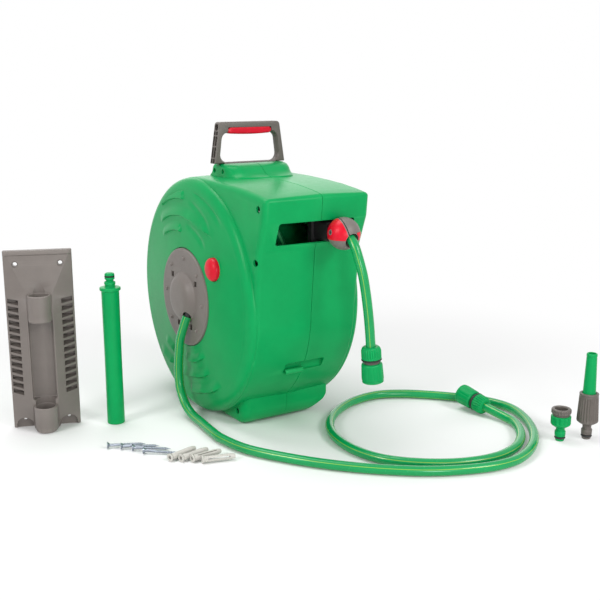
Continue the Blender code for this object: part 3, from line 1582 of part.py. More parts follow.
def brake_button(button):
    """The domed red button, its stem and the pad that grips the drum's flange."""
    y, z = BUTTON_CENTRE
    face = button_face_x()
    pad_face = FLANGE_LEFT - FLANGE_THICKNESS - BUTTON_TRAVEL - BUTTON_PAD_GAP
    profile = [
        (0.0, pad_face),
        (BRAKE_PAD_RADIUS, pad_face),
        (BRAKE_PAD_RADIUS, pad_face - BRAKE_PAD_THICKNESS),
        (BUTTON_STEM_RADIUS, pad_face - BRAKE_PAD_THICKNESS),
        (BUTTON_STEM_RADIUS, face + BUTTON_SKIRT),
        (BUTTON_RADIUS, face + BUTTON_SKIRT),
        (BUTTON_RADIUS, face - BUTTON_SHOULDER),
        (BUTTON_RADIUS - 0.0022, face - 0.0066),
        (BUTTON_RADIUS - 0.0080, face - BUTTON_RISE + 0.0008),
        (0.0, face - BUTTON_RISE),
    ]
    made = turned("brake_button", profile, centre=(0, y, z), steps=20)
    return finished(made, red_plastic(), (face, y, z), button)


def coil(centre, radius, start, end, turns, per_turn):
    """A compression spring along X between start and end."""
    points = []
    count = turns * per_turn
    for step in range(count + 1):
        angle = 2 * math.pi * step / per_turn
        x = start + (end - start) * step / count
        y = centre[0] + radius * math.cos(angle)
        points.append((x, y, centre[1] + radius * math.sin(angle)))
    return points


def button_spring():
    face = button_face_x()
    start = face + BUTTON_SKIRT + BUTTON_SPRING_WIRE + CLEARANCE
    end = face + BUTTON_CUP_FLOOR - BUTTON_SPRING_WIRE - CLEARANCE
    radius = BUTTON_SPRING_RADIUS
    points = coil(BUTTON_CENTRE, radius, start, end, BUTTON_SPRING_TURNS, BUTTON_SPRING_POINTS)
    return finished(tube("button_spring", points, BUTTON_SPRING_WIRE, 0), spring_steel())


def ratchet_plane():
    return FLANGE_LEFT - FLANGE_THICKNESS - RATCHET_GAP


def ratchet_wheel(drum):
    """Saw teeth beside the left flange, which the pawl drops into."""
    outline = []
    for index in range(RATCHET_TEETH):
        for share, drop in ((0.0, 0.0), (RATCHET_FACE, RATCHET_TOOTH)):
            radius = RATCHET_RADIUS - drop
            angle = 2 * math.pi * (index + share) / RATCHET_TEETH
            y = radius * math.cos(angle)
            outline.append((y, AXLE_HEIGHT + radius * math.sin(angle), 0))
    start = ratchet_plane()
    wheel = prism("ratchet_wheel", outline, [(start, 0), (start - RATCHET_WIDTH, 0)])
    bore = rod(
        "ratchet_bore",
        (start + OVERRUN, 0, AXLE_HEIGHT),
        (start - 2 * OVERRUN, 0, AXLE_HEIGHT),
        SHAFT_RADIUS + 2 * CLEARANCE,
        20,
    )
    return finished(cut(wheel, bore), inner_plastic(), AXLE, drum)


def pawl_pivot():
    """The pawl's pin, above the ratchet and behind the axle."""
    reach = RATCHET_RADIUS + PAWL_PIVOT_GAP
    way = Vector((math.cos(PAWL_PIVOT_ANGLE), math.sin(PAWL_PIVOT_ANGLE)))
    return Vector((0.0, AXLE_HEIGHT)) + way * reach


def ratchet_pawl(pawl):
    y, z = pawl_pivot()
    lean = Matrix.Rotation(-PAWL_REST_LIFT, 2)
    outline = rounded_outline(PAWL_OUTLINE, 2)
    placed = [(*(Vector((y, z)) + lean @ point), 0) for point in outline]
    start = ratchet_plane()
    near, far = start - PAWL_SIDE_GAP, start - RATCHET_WIDTH + PAWL_SIDE_GAP
    made = prism("ratchet_pawl", placed, [(far, 0), (near, 0)])
    low, high = (start + OVERRUN, y, z), (start - 2 * OVERRUN, y, z)
    hole = rod("pawl_hole", low, high, PAWL_PIN_RADIUS + CLEARANCE, 12)
    return finished(cut(made, hole), spring_steel(), (start, y, z), pawl)


def pawl_pin():
    y, z = pawl_pivot()
    wall = hub_plane("left") - WALL
    start = ratchet_plane() - CLEARANCE
    pin = rod("pawl_pin", (start, y, z), (-wall + CLEARANCE, y, z), PAWL_PIN_RADIUS, 12)
    return finished(pin, spring_steel())


def pawl_spring():
    """The small torsion spring round the pawl's pin."""
    y, z = pawl_pivot()
    start = ratchet_plane() - RATCHET_WIDTH - PAWL_SPRING_START
    end = start - PAWL_SPRING_LENGTH
    radius = PAWL_SPRING_RADIUS
    points = coil((y, z), radius, start, end, PAWL_SPRING_TURNS, PAWL_SPRING_POINTS)
    return finished(tube("pawl_spring", points, PAWL_SPRING_WIRE, 0), spring_steel())


def bracket_ring(height, half, depth, edge, wall=0.0):
    """One level of the bracket's tapered section, with its back at the wall."""
    side = BRACKET_WIDTH / 2 - wall
    half -= wall * 0.3
    depth -= wall
    edge -= wall * 0.9
    back = 0.006 if wall else 0.0
    right = [(half, depth), (side, edge), (side, -back)]
    left = [(-u, v) for u, v in reversed(right)]
    return [Vector((u, -v, height)) for u, v in left + right]


def bracket_placement():
    turn = Matrix.Rotation(BRACKET_YAW, 4, "Z")
    return Matrix.Translation((*BRACKET_ORIGIN, 0.0)) @ turn


def louvre_cutter():
    """Rows of slots through both sloping sides."""
    shape = bmesh.new()
    for sign in (-1, 1):
        for row in range(LOUVRE_ROWS):
            height = LOUVRE_LOW + LOUVRE_PITCH * row
            made = bmesh.ops.create_cube(shape, size=1.0)
            bmesh.ops.scale(shape, vec=LOUVRE_SIZE, verts=made["verts"])
            place = (sign * LOUVRE_OFFSET, LOUVRE_DEPTH, height)
            bmesh.ops.translate(shape, vec=place, verts=made["verts"])
    mesh = bpy.data.meshes.new("louvre_cutter")
    shape.to_mesh(mesh)
    shape.free()
    return mesh_object("louvre_cutter", mesh)


def wall_bracket():
    """The moulded wall plate with the two sockets that the pivot tube goes through."""
    bracket = lofted("wall_bracket", [bracket_ring(*level) for level in BRACKET_LEVELS])
    inner = list(BRACKET_LEVELS)
    inner[0] = (BRACKET_SHEET, *inner[0][1:])
    inner[-1] = (BRACKET_HEIGHT - BRACKET_SHEET, *inner[-1][1:])
    hollow = lofted("bracket_hollow", [bracket_ring(*level, BRACKET_SHEET) for level in inner])
    bracket = cut(bracket, hollow)
    reach = SOCKET_AXIS_DEPTH
    web_half = SOCKET_RADIUS * SOCKET_WEB_SHARE
    for low, high in (UPPER_SOCKET, LOWER_SOCKET):
        boss = rod("socket_boss", (0, -reach, low), (0, -reach, high), SOCKET_RADIUS, 18)
        near, far = (-web_half, -reach, low), (web_half, -SOCKET_WEB_ROOT, high)
        bracket = joined(bracket, boss, block("socket_web", near, far))
    bottom, top = (0, -reach, -OVERRUN), (0, -reach, BRACKET_HEIGHT)
    bore = rod("socket_bore", bottom, top, TUBE_RADIUS + TUBE_FIT, 18)
    bracket = cut(bracket, bore, louvre_cutter())
    for side in (-1, 1):
        for height in (UPPER_HOLE_HEIGHT, LOWER_HOLE_HEIGHT):
            u = side * SCREW_HOLE_SIDE
            near, far = (u, OVERRUN, height), (u, -5 * OVERRUN, height)
            hole = rod("screw_hole", near, far, SCREW_HOLE_RADIUS, 8)
            bracket = cut(bracket, hole)
    bracket.data.transform(bracket_placement())
    return finished(bracket, grey_plastic())


def pivot_tube():
    """The tube that the reel swings on, with its flange and end nipple."""
    nipple = TUBE_NIPPLE_RADIUS
    profile = [
        (0.0, TUBE_TOTAL),
        (nipple - 0.0015, TUBE_TOTAL),
        (nipple, TUBE_TOTAL - 0.0025),
        (nipple, TUBE_TOTAL - 0.010),
        (nipple - 0.002, TUBE_TOTAL - 0.012),
        (nipple + 0.001, TUBE_TOTAL - 0.0145),
        (nipple + 0.001, TUBE_FLANGE_TOP + 0.001),
        (TUBE_FLANGE_RADIUS, TUBE_FLANGE_TOP),
        (TUBE_FLANGE_RADIUS, TUBE_LENGTH),
        (TUBE_RADIUS, TUBE_LENGTH - 0.001),
        (TUBE_RADIUS, 0.0),
        (TUBE_RADIUS - TUBE_WALL, 0.0),
        (TUBE_RADIUS - TUBE_WALL, TUBE_LENGTH - 0.004),
        (0.0, TUBE_LENGTH - 0.004),
    ]
    made = turned("pivot_tube", profile, Matrix.Identity(4), (*TUBE_BASE, 0.0), 16)
    return finished(made, green_plastic())


def wall_screw(index, head, tip):
    """A countersunk wood screw lying on its head's rim and its point."""
    low_end = SCREW_SHANK_RADIUS + CLEARANCE
    start = Vector((*head, SCREW_HEAD_RADIUS + CLEARANCE))
    way = (Vector((*tip, low_end)) - start).normalized()
    profile = [
        (0.0, 0.0),
        (SCREW_HEAD_RADIUS, 0.0),
        (SCREW_SHANK_RADIUS + 0.0004, SCREW_HEAD_HEIGHT),
        (SCREW_SHANK_RADIUS, SCREW_HEAD_HEIGHT + 0.002),
        (SCREW_SHANK_RADIUS, SCREW_LENGTH - 0.006),
        (0.0, SCREW_LENGTH),
    ]
    lay = laid_along(start, start + way)
    made = turned("wall_screw_%d" % index, profile, lay, steps=12)
    lift = CLEARANCE - min(vertex.co.z for vertex in made.data.vertices)
    made.data.transform(Matrix.Translation((0.0, 0.0, lift)))
    return finished(made, zinc_steel())


def wall_plug(index, mouth, end):
    """A nylon wall plug, open and collared at its mouth."""
    height = PLUG_COLLAR_RADIUS + CLEARANCE
    start = Vector((*mouth, height))
    way = (Vector((*end, height)) - start).normalized()
    profile = [
        (0.0, PLUG_LENGTH - 0.012),
        (PLUG_BORE, PLUG_LENGTH - 0.014),
        (PLUG_BORE, 0.0),
        (PLUG_COLLAR_RADIUS, 0.0),
        (PLUG_COLLAR_RADIUS, 0.0015),
        (PLUG_RADIUS, 0.0025),
        (PLUG_RADIUS, PLUG_LENGTH - 0.008),
        (PLUG_RADIUS - 0.0015, PLUG_LENGTH),
        (0.0, PLUG_LENGTH),
    ]
    lay = laid_along(start, start + way)
    made = turned("wall_plug_%d" % index, profile, lay, steps=10)
    lift = CLEARANCE - min(vertex.co.z for vertex in made.data.vertices)
    made.data.transform(Matrix.Translation((0.0, 0.0, lift)))
    return finished(made, plug_nylon())


def nipple_profile():
    """The standing end of a hose fitting, from the neck down, with a seal groove."""
    groove = 2 * ORING_RADIUS + 2 * CLEARANCE
    low = ORING_HEIGHT - groove / 2
    high = ORING_HEIGHT + groove / 2
    floor = NIPPLE_RADIUS - ORING_RADIUS - CLEARANCE
    return [
        (NIPPLE_NECK, 0.0200),
        (NIPPLE_NECK, 0.0168),
        (NIPPLE_COLLAR_RADIUS, 0.0152),
        (NIPPLE_COLLAR_RADIUS, 0.0086),
        (NIPPLE_RADIUS, 0.0078),
        (NIPPLE_RADIUS, high),
        (floor, high),
        (floor, low),
        (NIPPLE_RADIUS, low),
        (NIPPLE_RADIUS - 0.0008, 0.0),
        (NIPPLE_BORE, 0.0),
    ]


def nipple_seal(name, base):
    centre = (*base, ORING_HEIGHT)
    made = torus(name, centre, NIPPLE_RADIUS, ORING_RADIUS, Matrix.Identity(4))
    return finished(made, black_rubber())


def tap_adaptor():
    """The two-part threaded adaptor that stands on its hose nipple."""
    body = [
        (SOCKET_THREAD, ADAPTOR_HIGH),
        (0.0152, ADAPTOR_HIGH),
        (0.0154, 0.0270),
        (0.0100, 0.0225),
        *nipple_profile(),
        (NIPPLE_BORE, 0.0270),
        (SOCKET_THREAD, 0.0270),
    ]
    base = (*ADAPTOR_BASE, 0.0)
    made = turned("tap_adaptor", body, Matrix.Identity(4), base, 14, closed=True)
    finished(made, green_plastic())
    ring_low = ADAPTOR_HIGH + CLEARANCE
    reducer = [
        (REDUCER_BORE, REDUCER_LOW),
        (REDUCER_BORE, REDUCER_HIGH),
        (0.0150, REDUCER_HIGH),
        (0.0152, ring_low),
        (SOCKET_THREAD - CLEARANCE, ring_low),
        (SOCKET_THREAD - CLEARANCE, REDUCER_LOW),
    ]
    made = turned("adaptor_reducer", reducer, Matrix.Identity(4), base, 14, closed=True)
    finished(made, grey_plastic())
    nipple_seal("adaptor_seal", ADAPTOR_BASE)


def spray_nozzle(tip_body):
    """The straight nozzle: ribbed barrel with its nipple, and the twisting tip."""
    base = (*NOZZLE_BASE, 0.0)
    body = [
        (NOZZLE_BARREL, NOZZLE_BARREL_TOP),
        (0.0138, NOZZLE_BARREL_TOP),
        (0.0146, 0.0720),
        (0.0165, 0.0300),
        (0.0110, 0.0240),
        *nipple_profile(),
        (NIPPLE_BORE, 0.0500),
        (NOZZLE_BARREL, 0.0520),
    ]
    made = turned("nozzle_body", body, Matrix.Identity(4), base, 14, closed=True)
    finished(made, grey_plastic())
    tip = [
        (NOZZLE_JET, NOZZLE_TIP_TOP - 0.0005),
        (0.0074, NOZZLE_TIP_TOP),
        (0.0082, NOZZLE_TIP_TOP - 0.0020),
        (0.0100, 0.0700),
        (NOZZLE_BARREL - SLIDE_CLEARANCE, NOZZLE_TIP_LOW),
        (NOZZLE_TIP_BORE, NOZZLE_TIP_LOW),
        (NOZZLE_TIP_BORE, NOZZLE_TIP_TOP - 0.0180),
        (NOZZLE_JET, NOZZLE_TIP_TOP - 0.0080),
    ]
    made = turned("nozzle_tip", tip, Matrix.Identity(4), base, 14, closed=True)
    finished(made, green_plastic(), base, tip_body)
    nipple_seal("nozzle_seal", NOZZLE_BASE)


def build_reel():
    drum = body_empty("drum_axis", AXLE)
    idler = body_empty("idler_axis", (gear_plane(), *idler_centre()))
    traverse = body_empty("traverse_axis", (0.0, *traverse_centre()))
    carriage = body_empty("carriage_slide", BALL_CENTRE)
    button = body_empty("button_slide", (button_face_x(), *BUTTON_CENTRE))
    pawl = body_empty("pawl_axis", (ratchet_plane(), *pawl_pivot()))
    outlet_sleeve = body_empty("outlet_sleeve_slide", OUTLET_ROUTE[-1])
    leader_sleeve = body_empty("leader_sleeve_slide", LEADER_ROUTE[-1])
    outlet_sleeve.parent = carriage
    outlet_sleeve.matrix_parent_inverse = carriage.matrix_world.inverted()
    bpy.context.view_layer.update()

    shell_half("left")
    shell_half("right")
    inlet_cover()
    spring_side_cover()
    handle_frame()
    handle_grip()
    main_shaft()
    inlet_elbow()
    inlet_seal()
    drum_bush("left_bush", FLANGE_LEFT, -1, drum)
    drum_bush("right_bush", FLANGE_RIGHT, 1, drum)
    drum_flange("left_flange", FLANGE_LEFT, -1, drum)
    drum_flange("right_flange", FLANGE_RIGHT, 1, drum)
    drum_core(drum)
    wound_hose_core(drum)
    hose_winding(drum)
    spring_case(drum)
    power_spring()
    ratchet_wheel(drum)
    ratchet_pawl(pawl)
    pawl_pin()
    pawl_spring()
    level_wind_gears(drum, idler, traverse)
    idler_pin()
    traverse_screw(traverse)
    guide_rod()
    hose_carriage(carriage)
    feed_hose(carriage)
    ball_half("ball_half_left", -1, carriage)
    ball_half("ball_half_right", 1, carriage)
    brake_button(button)
    button_spring()
    outlet_hose(carriage)
    last, before = Vector(OUTLET_ROUTE[-1]), Vector(OUTLET_ROUTE[-2])
    connector("outlet", last, last + (last - before), carriage, outlet_sleeve)
    leader_hose()
    connector("leader", LEADER_ROUTE[-1], LEADER_TIP, None, leader_sleeve)


def build_kit():
    wall_bracket()
    pivot_tube()
    for index, (head, tip) in enumerate(SCREW_ENDS, 1):
        wall_screw(index, head, tip)
    for index, (mouth, end) in enumerate(PLUG_ENDS, 1):
        wall_plug(index, mouth, end)
    tap_adaptor()
    tip_axis = body_empty("nozzle_tip_axis", (*NOZZLE_BASE, 0.0))
    spray_nozzle(tip_axis)


clear_scene()
build_reel()
build_kit()
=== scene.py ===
"""Looks for the wall-mounted hose reel: fine forms, materials, studio and camera."""
from math import asin, atan2, copysign, cos, degrees, exp, hypot, pi, radians, sin, sqrt, tan

import bmesh
import bpy
from mathutils import Matrix, Vector


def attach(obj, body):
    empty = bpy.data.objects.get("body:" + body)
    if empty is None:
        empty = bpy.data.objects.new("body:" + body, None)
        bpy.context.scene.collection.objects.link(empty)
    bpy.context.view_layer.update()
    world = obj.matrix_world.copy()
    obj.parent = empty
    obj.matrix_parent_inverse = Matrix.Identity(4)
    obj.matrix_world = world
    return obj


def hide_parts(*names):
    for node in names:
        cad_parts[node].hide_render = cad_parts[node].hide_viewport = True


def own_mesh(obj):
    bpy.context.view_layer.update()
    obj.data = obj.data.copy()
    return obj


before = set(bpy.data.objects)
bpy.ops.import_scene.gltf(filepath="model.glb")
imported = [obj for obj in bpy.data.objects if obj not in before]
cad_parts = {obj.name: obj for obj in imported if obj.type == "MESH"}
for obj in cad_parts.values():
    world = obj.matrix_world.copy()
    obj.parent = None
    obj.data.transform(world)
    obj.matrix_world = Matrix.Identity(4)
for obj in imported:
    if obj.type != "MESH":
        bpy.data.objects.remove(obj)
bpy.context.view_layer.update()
scene = bpy.context.scene
TAU = 2 * pi

def metres(*rows):
    """Rows of millimetres, in metres."""
    return tuple(tuple(value / 1000 for value in row) for row in rows)


# Sizes shared with the frame, in metres
AXLE_HEIGHT = 0.198
AXLE = Vector((0.0, 0.0, AXLE_HEIGHT))
HOUSING_RADIUS = 0.197
HOUSING_TOP = AXLE_HEIGHT + HOUSING_RADIUS
HALF_WIDTH = {"left": 0.097, "right": 0.089}
SIDE_SIGN = {"left": -1, "right": 1}
WALL = 0.003
SEAM_GAP = 0.0004
CLEARANCE = 0.0003
EDGE_RADIUS = 0.009
MOULD_DRAFT = 0.0025
BOX_FRONT = -0.2275
DISH_STEP = 0.01
DISH_RISE = 0.0105
DISH_WALL_RADIUS = 0.1925
DISH_EDGE = 0.1895
DISH_FLAT = 0.1735
DISH_RIM_SPREAD = 0.0196
DISH_ROWS = 80
HUB_SEAT_DEPTH = 0.0042
HUB_RADIUS = 0.0805
HUB_FIT = 0.0011
HUB_PLATE = 0.007
SHAFT_RADIUS = 0.013
HUMP_TOP = HOUSING_TOP + 0.0185
HUMP_HALF_LENGTH = 0.0595
SLOT = (-0.0715, 0.0625, HOUSING_TOP - 0.087, HOUSING_TOP - 0.053)
POCKET = (-0.034, 0.038, AXLE_HEIGHT - 0.1, AXLE_HEIGHT - 0.085)
POCKET_DEPTH = 0.012
KNUCKLE_Y = 0.2165
PIVOT_BORE = 0.0146
BUTTON_Y, BUTTON_Z = -0.094, AXLE_HEIGHT + 0.061
BUTTON_RADIUS = 0.0182
BUTTON_PAD = -0.0716
BALL_CENTRE = Vector((0.027, -0.243, 0.323))
BALL_RADIUS = 0.0245
HOSE_RADIUS = 0.0075
DRAWN_HOSE_RADIUS = HOSE_RADIUS - 0.0002
HOSE_ON_GROUND = 0.0079
WINDING_RADIUS = 0.146
WINDING_GAP = 0.0007
WINDING_END_ANGLE = radians(95.7)
FLANGE_LEFT = -0.062
FEED_START = Vector((BALL_CENTRE.x, -0.0145, 0.34327))
BRACKET_PLACE = (-0.337, 0.069, 0.0)
BRACKET_YAW = radians(-19.8)
PIVOT_TUBE_PLACE = (-0.2405, 0.0169, 0.0)
ADAPTOR_PLACE = (0.3079, -0.4315, 0.0)
NOZZLE_PLACE = (0.3491, -0.4481, 0.0)

# Quick connectors on the two hoses
INSERTION = 0.014
CONNECTOR_BORE = 0.0045
SOCKET = 0.0083
SOCKET_FLOOR = 0.034
NUT = 0.0152
NUT_LENGTH = 0.019
NECK = 0.0113
COLLAR = 0.0155
COLLAR_LENGTH = 0.0022
SLEEVE = 0.0168
SLEEVE_GAP = 0.0046
SLEEVE_LENGTH = 0.03
BODY_END = 0.0545

ALONG_X = Matrix(((0, 0, 1, 0), (1, 0, 0, 0), (0, 1, 0, 0), (0, 0, 0, 1)))
ALONG_Y = Matrix(((1, 0, 0, 0), (0, 0, -1, 0), (0, 1, 0, 0), (0, 0, 0, 1)))
UPRIGHT = Matrix.Identity(4)


# --- materials
def node(tree, kind, inputs=None, **settings):
    made = tree.nodes.new("ShaderNode" + kind)
    for key, value in settings.items():
        setattr(made, key, value)
    for key, value in (inputs or {}).items():
        made.inputs[key].default_value = value
    return made


def surface(name, colour, roughness, spread=0.1, grain=900.0, grain_height=0.00004,
            blotch=22.0, specular=0.5, coat=0.0, wear=0.0, metallic=0.0):
    """Moulded plastic, rubber or metal: blotched colour, grain bump, worn edges."""
    made = bpy.data.materials.new(name)
    made.use_nodes = True
    tree = made.node_tree
    shader = tree.nodes["Principled BSDF"]
    link = tree.links.new
    place = node(tree, "TexCoord").outputs["Object"]
    broad, fine, scuff = [
        node(tree, "TexNoise", {"Scale": scale, "Detail": detail, "Roughness": rough})
        for scale, detail, rough in ((blotch, 5.0, 0.62), (grain, 3.0, 0.55),
                                     (blotch * 6, 6.0, 0.7))]
    for texture in (broad, fine, scuff):
        link(place, texture.inputs["Vector"])
    shade = node(tree, "ValToRGB")
    low, high = shade.color_ramp.elements
    low.position, high.position = 0.32, 0.68
    low.color = (*[max(0.0, c * (1 - spread)) for c in colour], 1.0)
    high.color = (*[min(1.0, c * (1 + spread) + 0.003 * spread) for c in colour], 1.0)
    link(broad.outputs["Fac"], shade.inputs["Fac"])
    colour_out = shade.outputs["Color"]
    if wear:
        edges = node(tree, "NewGeometry").outputs["Pointiness"]
        band = node(tree, "MapRange",
                    {"From Min": 0.515, "From Max": 0.6, "To Min": 0.0, "To Max": wear})
        link(edges, band.inputs["Value"])
        mix = node(tree, "Mix", data_type="RGBA")
        mix.inputs[7].default_value = (*[min(1.0, c * 1.5 + 0.05) for c in colour], 1.0)
        link(band.outputs["Result"], mix.inputs[0])
        link(colour_out, mix.inputs[6])
        colour_out = mix.outputs[2]
    link(colour_out, shader.inputs["Base Color"])
    gloss = node(tree, "MapRange", {"From Min": 0.3, "From Max": 0.7,
                                    "To Min": roughness * 0.9, "To Max": roughness * 1.1})
    link(scuff.outputs["Fac"], gloss.inputs["Value"])
    link(gloss.outputs["Result"], shader.inputs["Roughness"])
    bump = node(tree, "Bump", {"Strength": 1.0, "Distance": grain_height})
    link(fine.outputs["Fac"], bump.inputs["Height"])
    link(bump.outputs["Normal"], shader.inputs["Normal"])
    shader.inputs["Metallic"].default_value = metallic
    shader.inputs["Specular IOR Level"].default_value = specular
    shader.inputs["Coat Weight"].default_value = coat
    if coat:
        shader.inputs["Coat Roughness"].default_value = 0.12
    made.diffuse_color = (*colour, 1.0)
    return made


GREY_LOOK = {"spread": 0.07, "grain": 1100, "grain_height": 0.00006, "specular": 0.45, "wear": 0.35}
GREEN = surface("green_moulded", (0.001, 0.31, 0.083), 0.32, spread=0.05, grain=1500,
                specular=0.14, wear=0.2)
GREY = surface("grey_moulded", (0.165, 0.143, 0.13), 0.46, **GREY_LOOK)
DARK_GREY = surface("grey_fitting", (0.112, 0.097, 0.086), 0.46, **GREY_LOOK)
RED = surface("red_moulded", (0.64, 0.002, 0.02), 0.36, spread=0.06, grain=1500,
              specular=0.25, wear=0.1)
BLACK = surface("black_rubber", (0.012, 0.012, 0.013), 0.55, spread=0.15)
DARK = surface("dark_inner_plastic", (0.016, 0.016, 0.017), 0.55, spread=0.15)
HOSE = surface("hose_vinyl", (0.001, 0.3, 0.08), 0.26, specular=0.3, spread=0.05,
               grain=700, coat=0.2)
STRIPE = surface("hose_stripe", (0.22, 0.46, 0.055), 0.26, specular=0.45, spread=0.06,
                 grain=700, coat=0.2)
# Painted light: the wound hose is a lighter copy of the hose green, so the turns deep in the slot
# read brighter than the light there makes them.
WINDING_PAINTED_LIGHT = surface("wound_hose", (0.002, 0.36, 0.11), 0.3, specular=0.45, spread=0.1, grain=700)
# The hose's printed stripes on the wound turns, painted as wide bright green bands that stand in
# for highlights along each turn.
WINDING_STRIPE_PAINTED_HIGHLIGHT = surface("wound_stripe", (0.15, 0.88, 0.36), 0.3, specular=0.45, spread=0.06,
                       grain=700)
STEEL = surface("spring_steel", (0.42, 0.43, 0.45), 0.35, metallic=1.0, spread=0.1)
ZINC = surface("zinc_steel", (0.3, 0.33, 0.38), 0.36, metallic=1.0, spread=0.18, blotch=160)
NYLON = surface("plug_nylon", (0.52, 0.505, 0.465), 0.5, spread=0.08, wear=0.25)
BY_SLOT = {"green_plastic": GREEN, "grey_plastic": GREY, "red_plastic": RED,
           "black_rubber": BLACK, "hose_vinyl": HOSE, "inner_plastic": DARK,
           "spring_steel": STEEL, "zinc_steel": ZINC, "plug_nylon": NYLON}
SLOT_OF = {finish.name: slot for slot, finish in BY_SLOT.items()}
SLOT_OF[DARK_GREY.name] = "grey_plastic"


# --- mesh tools
def shown(name, data):
    obj = bpy.data.objects.new(name, data)
    scene.collection.objects.link(obj)
    return obj


def from_bmesh(name, shape):
    bmesh.ops.recalc_face_normals(shape, faces=shape.faces)
    mesh = bpy.data.meshes.new(name)
    shape.to_mesh(mesh)
    shape.free()
    return shown(name, mesh)


def skinned(shape, rings):
    """Join rings of points with quads and close both ends; returns the rows of quads."""
    rows = [[shape.verts.new(point) for point in ring] for ring in rings]
    count = len(rows[0])
    quads = [[shape.faces.new((low[i], low[(i + 1) % count], high[(i + 1) % count], high[i]))
              for i in range(count)] for low, high in zip(rows, rows[1:])]
    shape.faces.new(rows[0][::-1])
    shape.faces.new(rows[-1])
    return quads


def loft(name, rings):
    shape = bmesh.new()
    skinned(shape, rings)
    return from_bmesh(name, shape)


def mm(*points, r=0.0, z=0.0):
    """Profile points in millimetres, added to a radius and a position in metres."""
    return [(r + a / 1000, z + b / 1000) for a, b in points]


def rectangle(left, right, low, high, low_radius=0, high_radius=None):
    top = low_radius if high_radius is None else high_radius
    return [(left, low, low_radius), (right, low, low_radius), (right, high, top),
            (left, high, top)]


def inset_corners(corners, distance):
    points = [Vector(corner[:2]) for corner in corners]
    moved = []
    for i, point in enumerate(points):
        before = (point - points[i - 1]).normalized()
        after = (points[(i + 1) % len(points)] - point).normalized()
        inward = Vector((-before.y - after.y, before.x + after.x)).normalized()
        lean = inward.dot(Vector((-before.y, before.x)))
        x, y = point + inward * (distance / lean)
        radius = corners[i][2]
        moved.append((x, y, max(radius - distance, 0.0004) if radius else 0))
    return moved


def rounded(corners, steps=6):
    outline = []
    for i, (x, y, radius) in enumerate(corners):
        corner = Vector((x, y))
        if radius <= 0:
            outline.append(corner)
            continue
        back = (Vector(corners[i - 1][:2]) - corner).normalized()
        ahead = (Vector(corners[(i + 1) % len(corners)][:2]) - corner).normalized()
        half = back.angle(ahead) / 2
        centre = corner + (back + ahead).normalized() * (radius / sin(half))
        start = corner + back * (radius / tan(half)) - centre
        sweep = (pi - 2 * half) * copysign(1, back.cross(ahead))
        for step in range(steps + 1):
            outline.append(centre + Matrix.Rotation(-sweep * step / steps, 2) @ start)
    return outline


def prism(name, corners, sections, along=ALONG_X, steps=6):
    rings = []
    for position, inset in sections:
        ring = rounded(inset_corners(corners, inset), steps)
        rings.append([along @ Vector((p.x, p.y, position)) for p in ring])
    return loft(name, rings)


def turn(name, profile, lay=UPRIGHT, centre=(0, 0, 0), steps=96, closed=False, shape_of=None):
    """A lathe form; shape_of(radius, position, angle, row) may move its points."""
    shape = bmesh.new()
    place = Matrix.Translation(centre) @ lay
    rows = []
    for row, (radius, position) in enumerate(profile):
        if radius < 1e-7:
            rows.append([shape.verts.new(place @ Vector((0, 0, position)))])
            continue
        ring = []
        for step in range(steps):
            angle = TAU * step / steps
            r, z = shape_of(radius, position, angle, row) if shape_of else (radius, position)
            point = Vector((r * cos(angle), r * sin(angle), z))
            ring.append(shape.verts.new(place @ point))
        rows.append(ring)
    pairs = list(zip(rows, rows[1:]))
    if closed:
        pairs.append((rows[-1], rows[0]))
    for low, high in pairs:
        for i in range(steps):
            j = (i + 1) % steps
            quad = [low[i % len(low)], low[j % len(low)], high[j % len(high)], high[i % len(high)]]
            corners = list(dict.fromkeys(quad))
            if len(corners) > 2:
                shape.faces.new(corners)
    return from_bmesh(name, shape)


def laid_along(start, end):
    start, end = Vector(start), Vector(end)
    return Matrix.Translation(start) @ (end - start).to_track_quat("Z", "Y").to_matrix().to_4x4()


def rod(name, start, end, radius, sides=48):
    length = (Vector(end) - Vector(start)).length
    profile = [(0, 0), (radius, 0), (radius, length), (0, length)]
    return turn(name, profile, laid_along(start, end), steps=sides)


def block(name, low, high):
    shape = bmesh.new()
    bmesh.ops.create_cube(shape, size=1.0)
    low, high = Vector(low), Vector(high)
    bmesh.ops.scale(shape, vec=high - low, verts=shape.verts)
    bmesh.ops.translate(shape, vec=(low + high) / 2, verts=shape.verts)
    return from_bmesh(name, shape)


def baked(obj):
    bpy.context.view_layer.update()
    mesh = bpy.data.meshes.new_from_object(obj.evaluated_get(bpy.context.evaluated_depsgraph_get()))
    old = obj.data
    obj.modifiers.clear()
    obj.data = mesh
    bpy.data.meshes.remove(old)
    return obj


def combine(target, tools, operation):
    for tool in tools:
        modifier = target.modifiers.new("combine", "BOOLEAN")
        modifier.operation = operation
        modifier.solver = "MANIFOLD"
        modifier.object = tool
        baked(target)
        bpy.data.objects.remove(tool, do_unlink=True)
    return target


def join(target, *tools):
    return combine(target, tools, "UNION")


def cut(target, *tools):
    return combine(target, tools, "DIFFERENCE")


def absorb(target, other):
    """Put a loose mesh into an object, with its own material slots."""
    shape = bmesh.new()
    shape.from_mesh(target.data)
    first, count = len(target.data.materials), len(shape.faces)
    for used in other.data.materials:
        target.data.materials.append(used)
    shape.from_mesh(other.data)
    shape.faces.ensure_lookup_table()
    for face in shape.faces[count:]:
        face.material_index += first
    bpy.data.objects.remove(other, do_unlink=True)
    shape.to_mesh(target.data)
    shape.free()
    return target


def smoothed(obj, angle):
    obj.data.shade_smooth()
    obj.data.set_sharp_from_angle(angle=radians(angle))
    return obj


def dressed(obj, finish, angle=30):
    obj.data.materials.clear()
    obj.data.materials.append(finish)
    return smoothed(obj, angle)


def settled(obj, body, cad_node):
    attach(obj, body)
    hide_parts(cad_node)
    return obj


def finished(obj, finish, angle, body, cad_node):
    """Dress a piece and let it ride on its body in place of its node."""
    return settled(dressed(obj, finish, angle), body, cad_node)


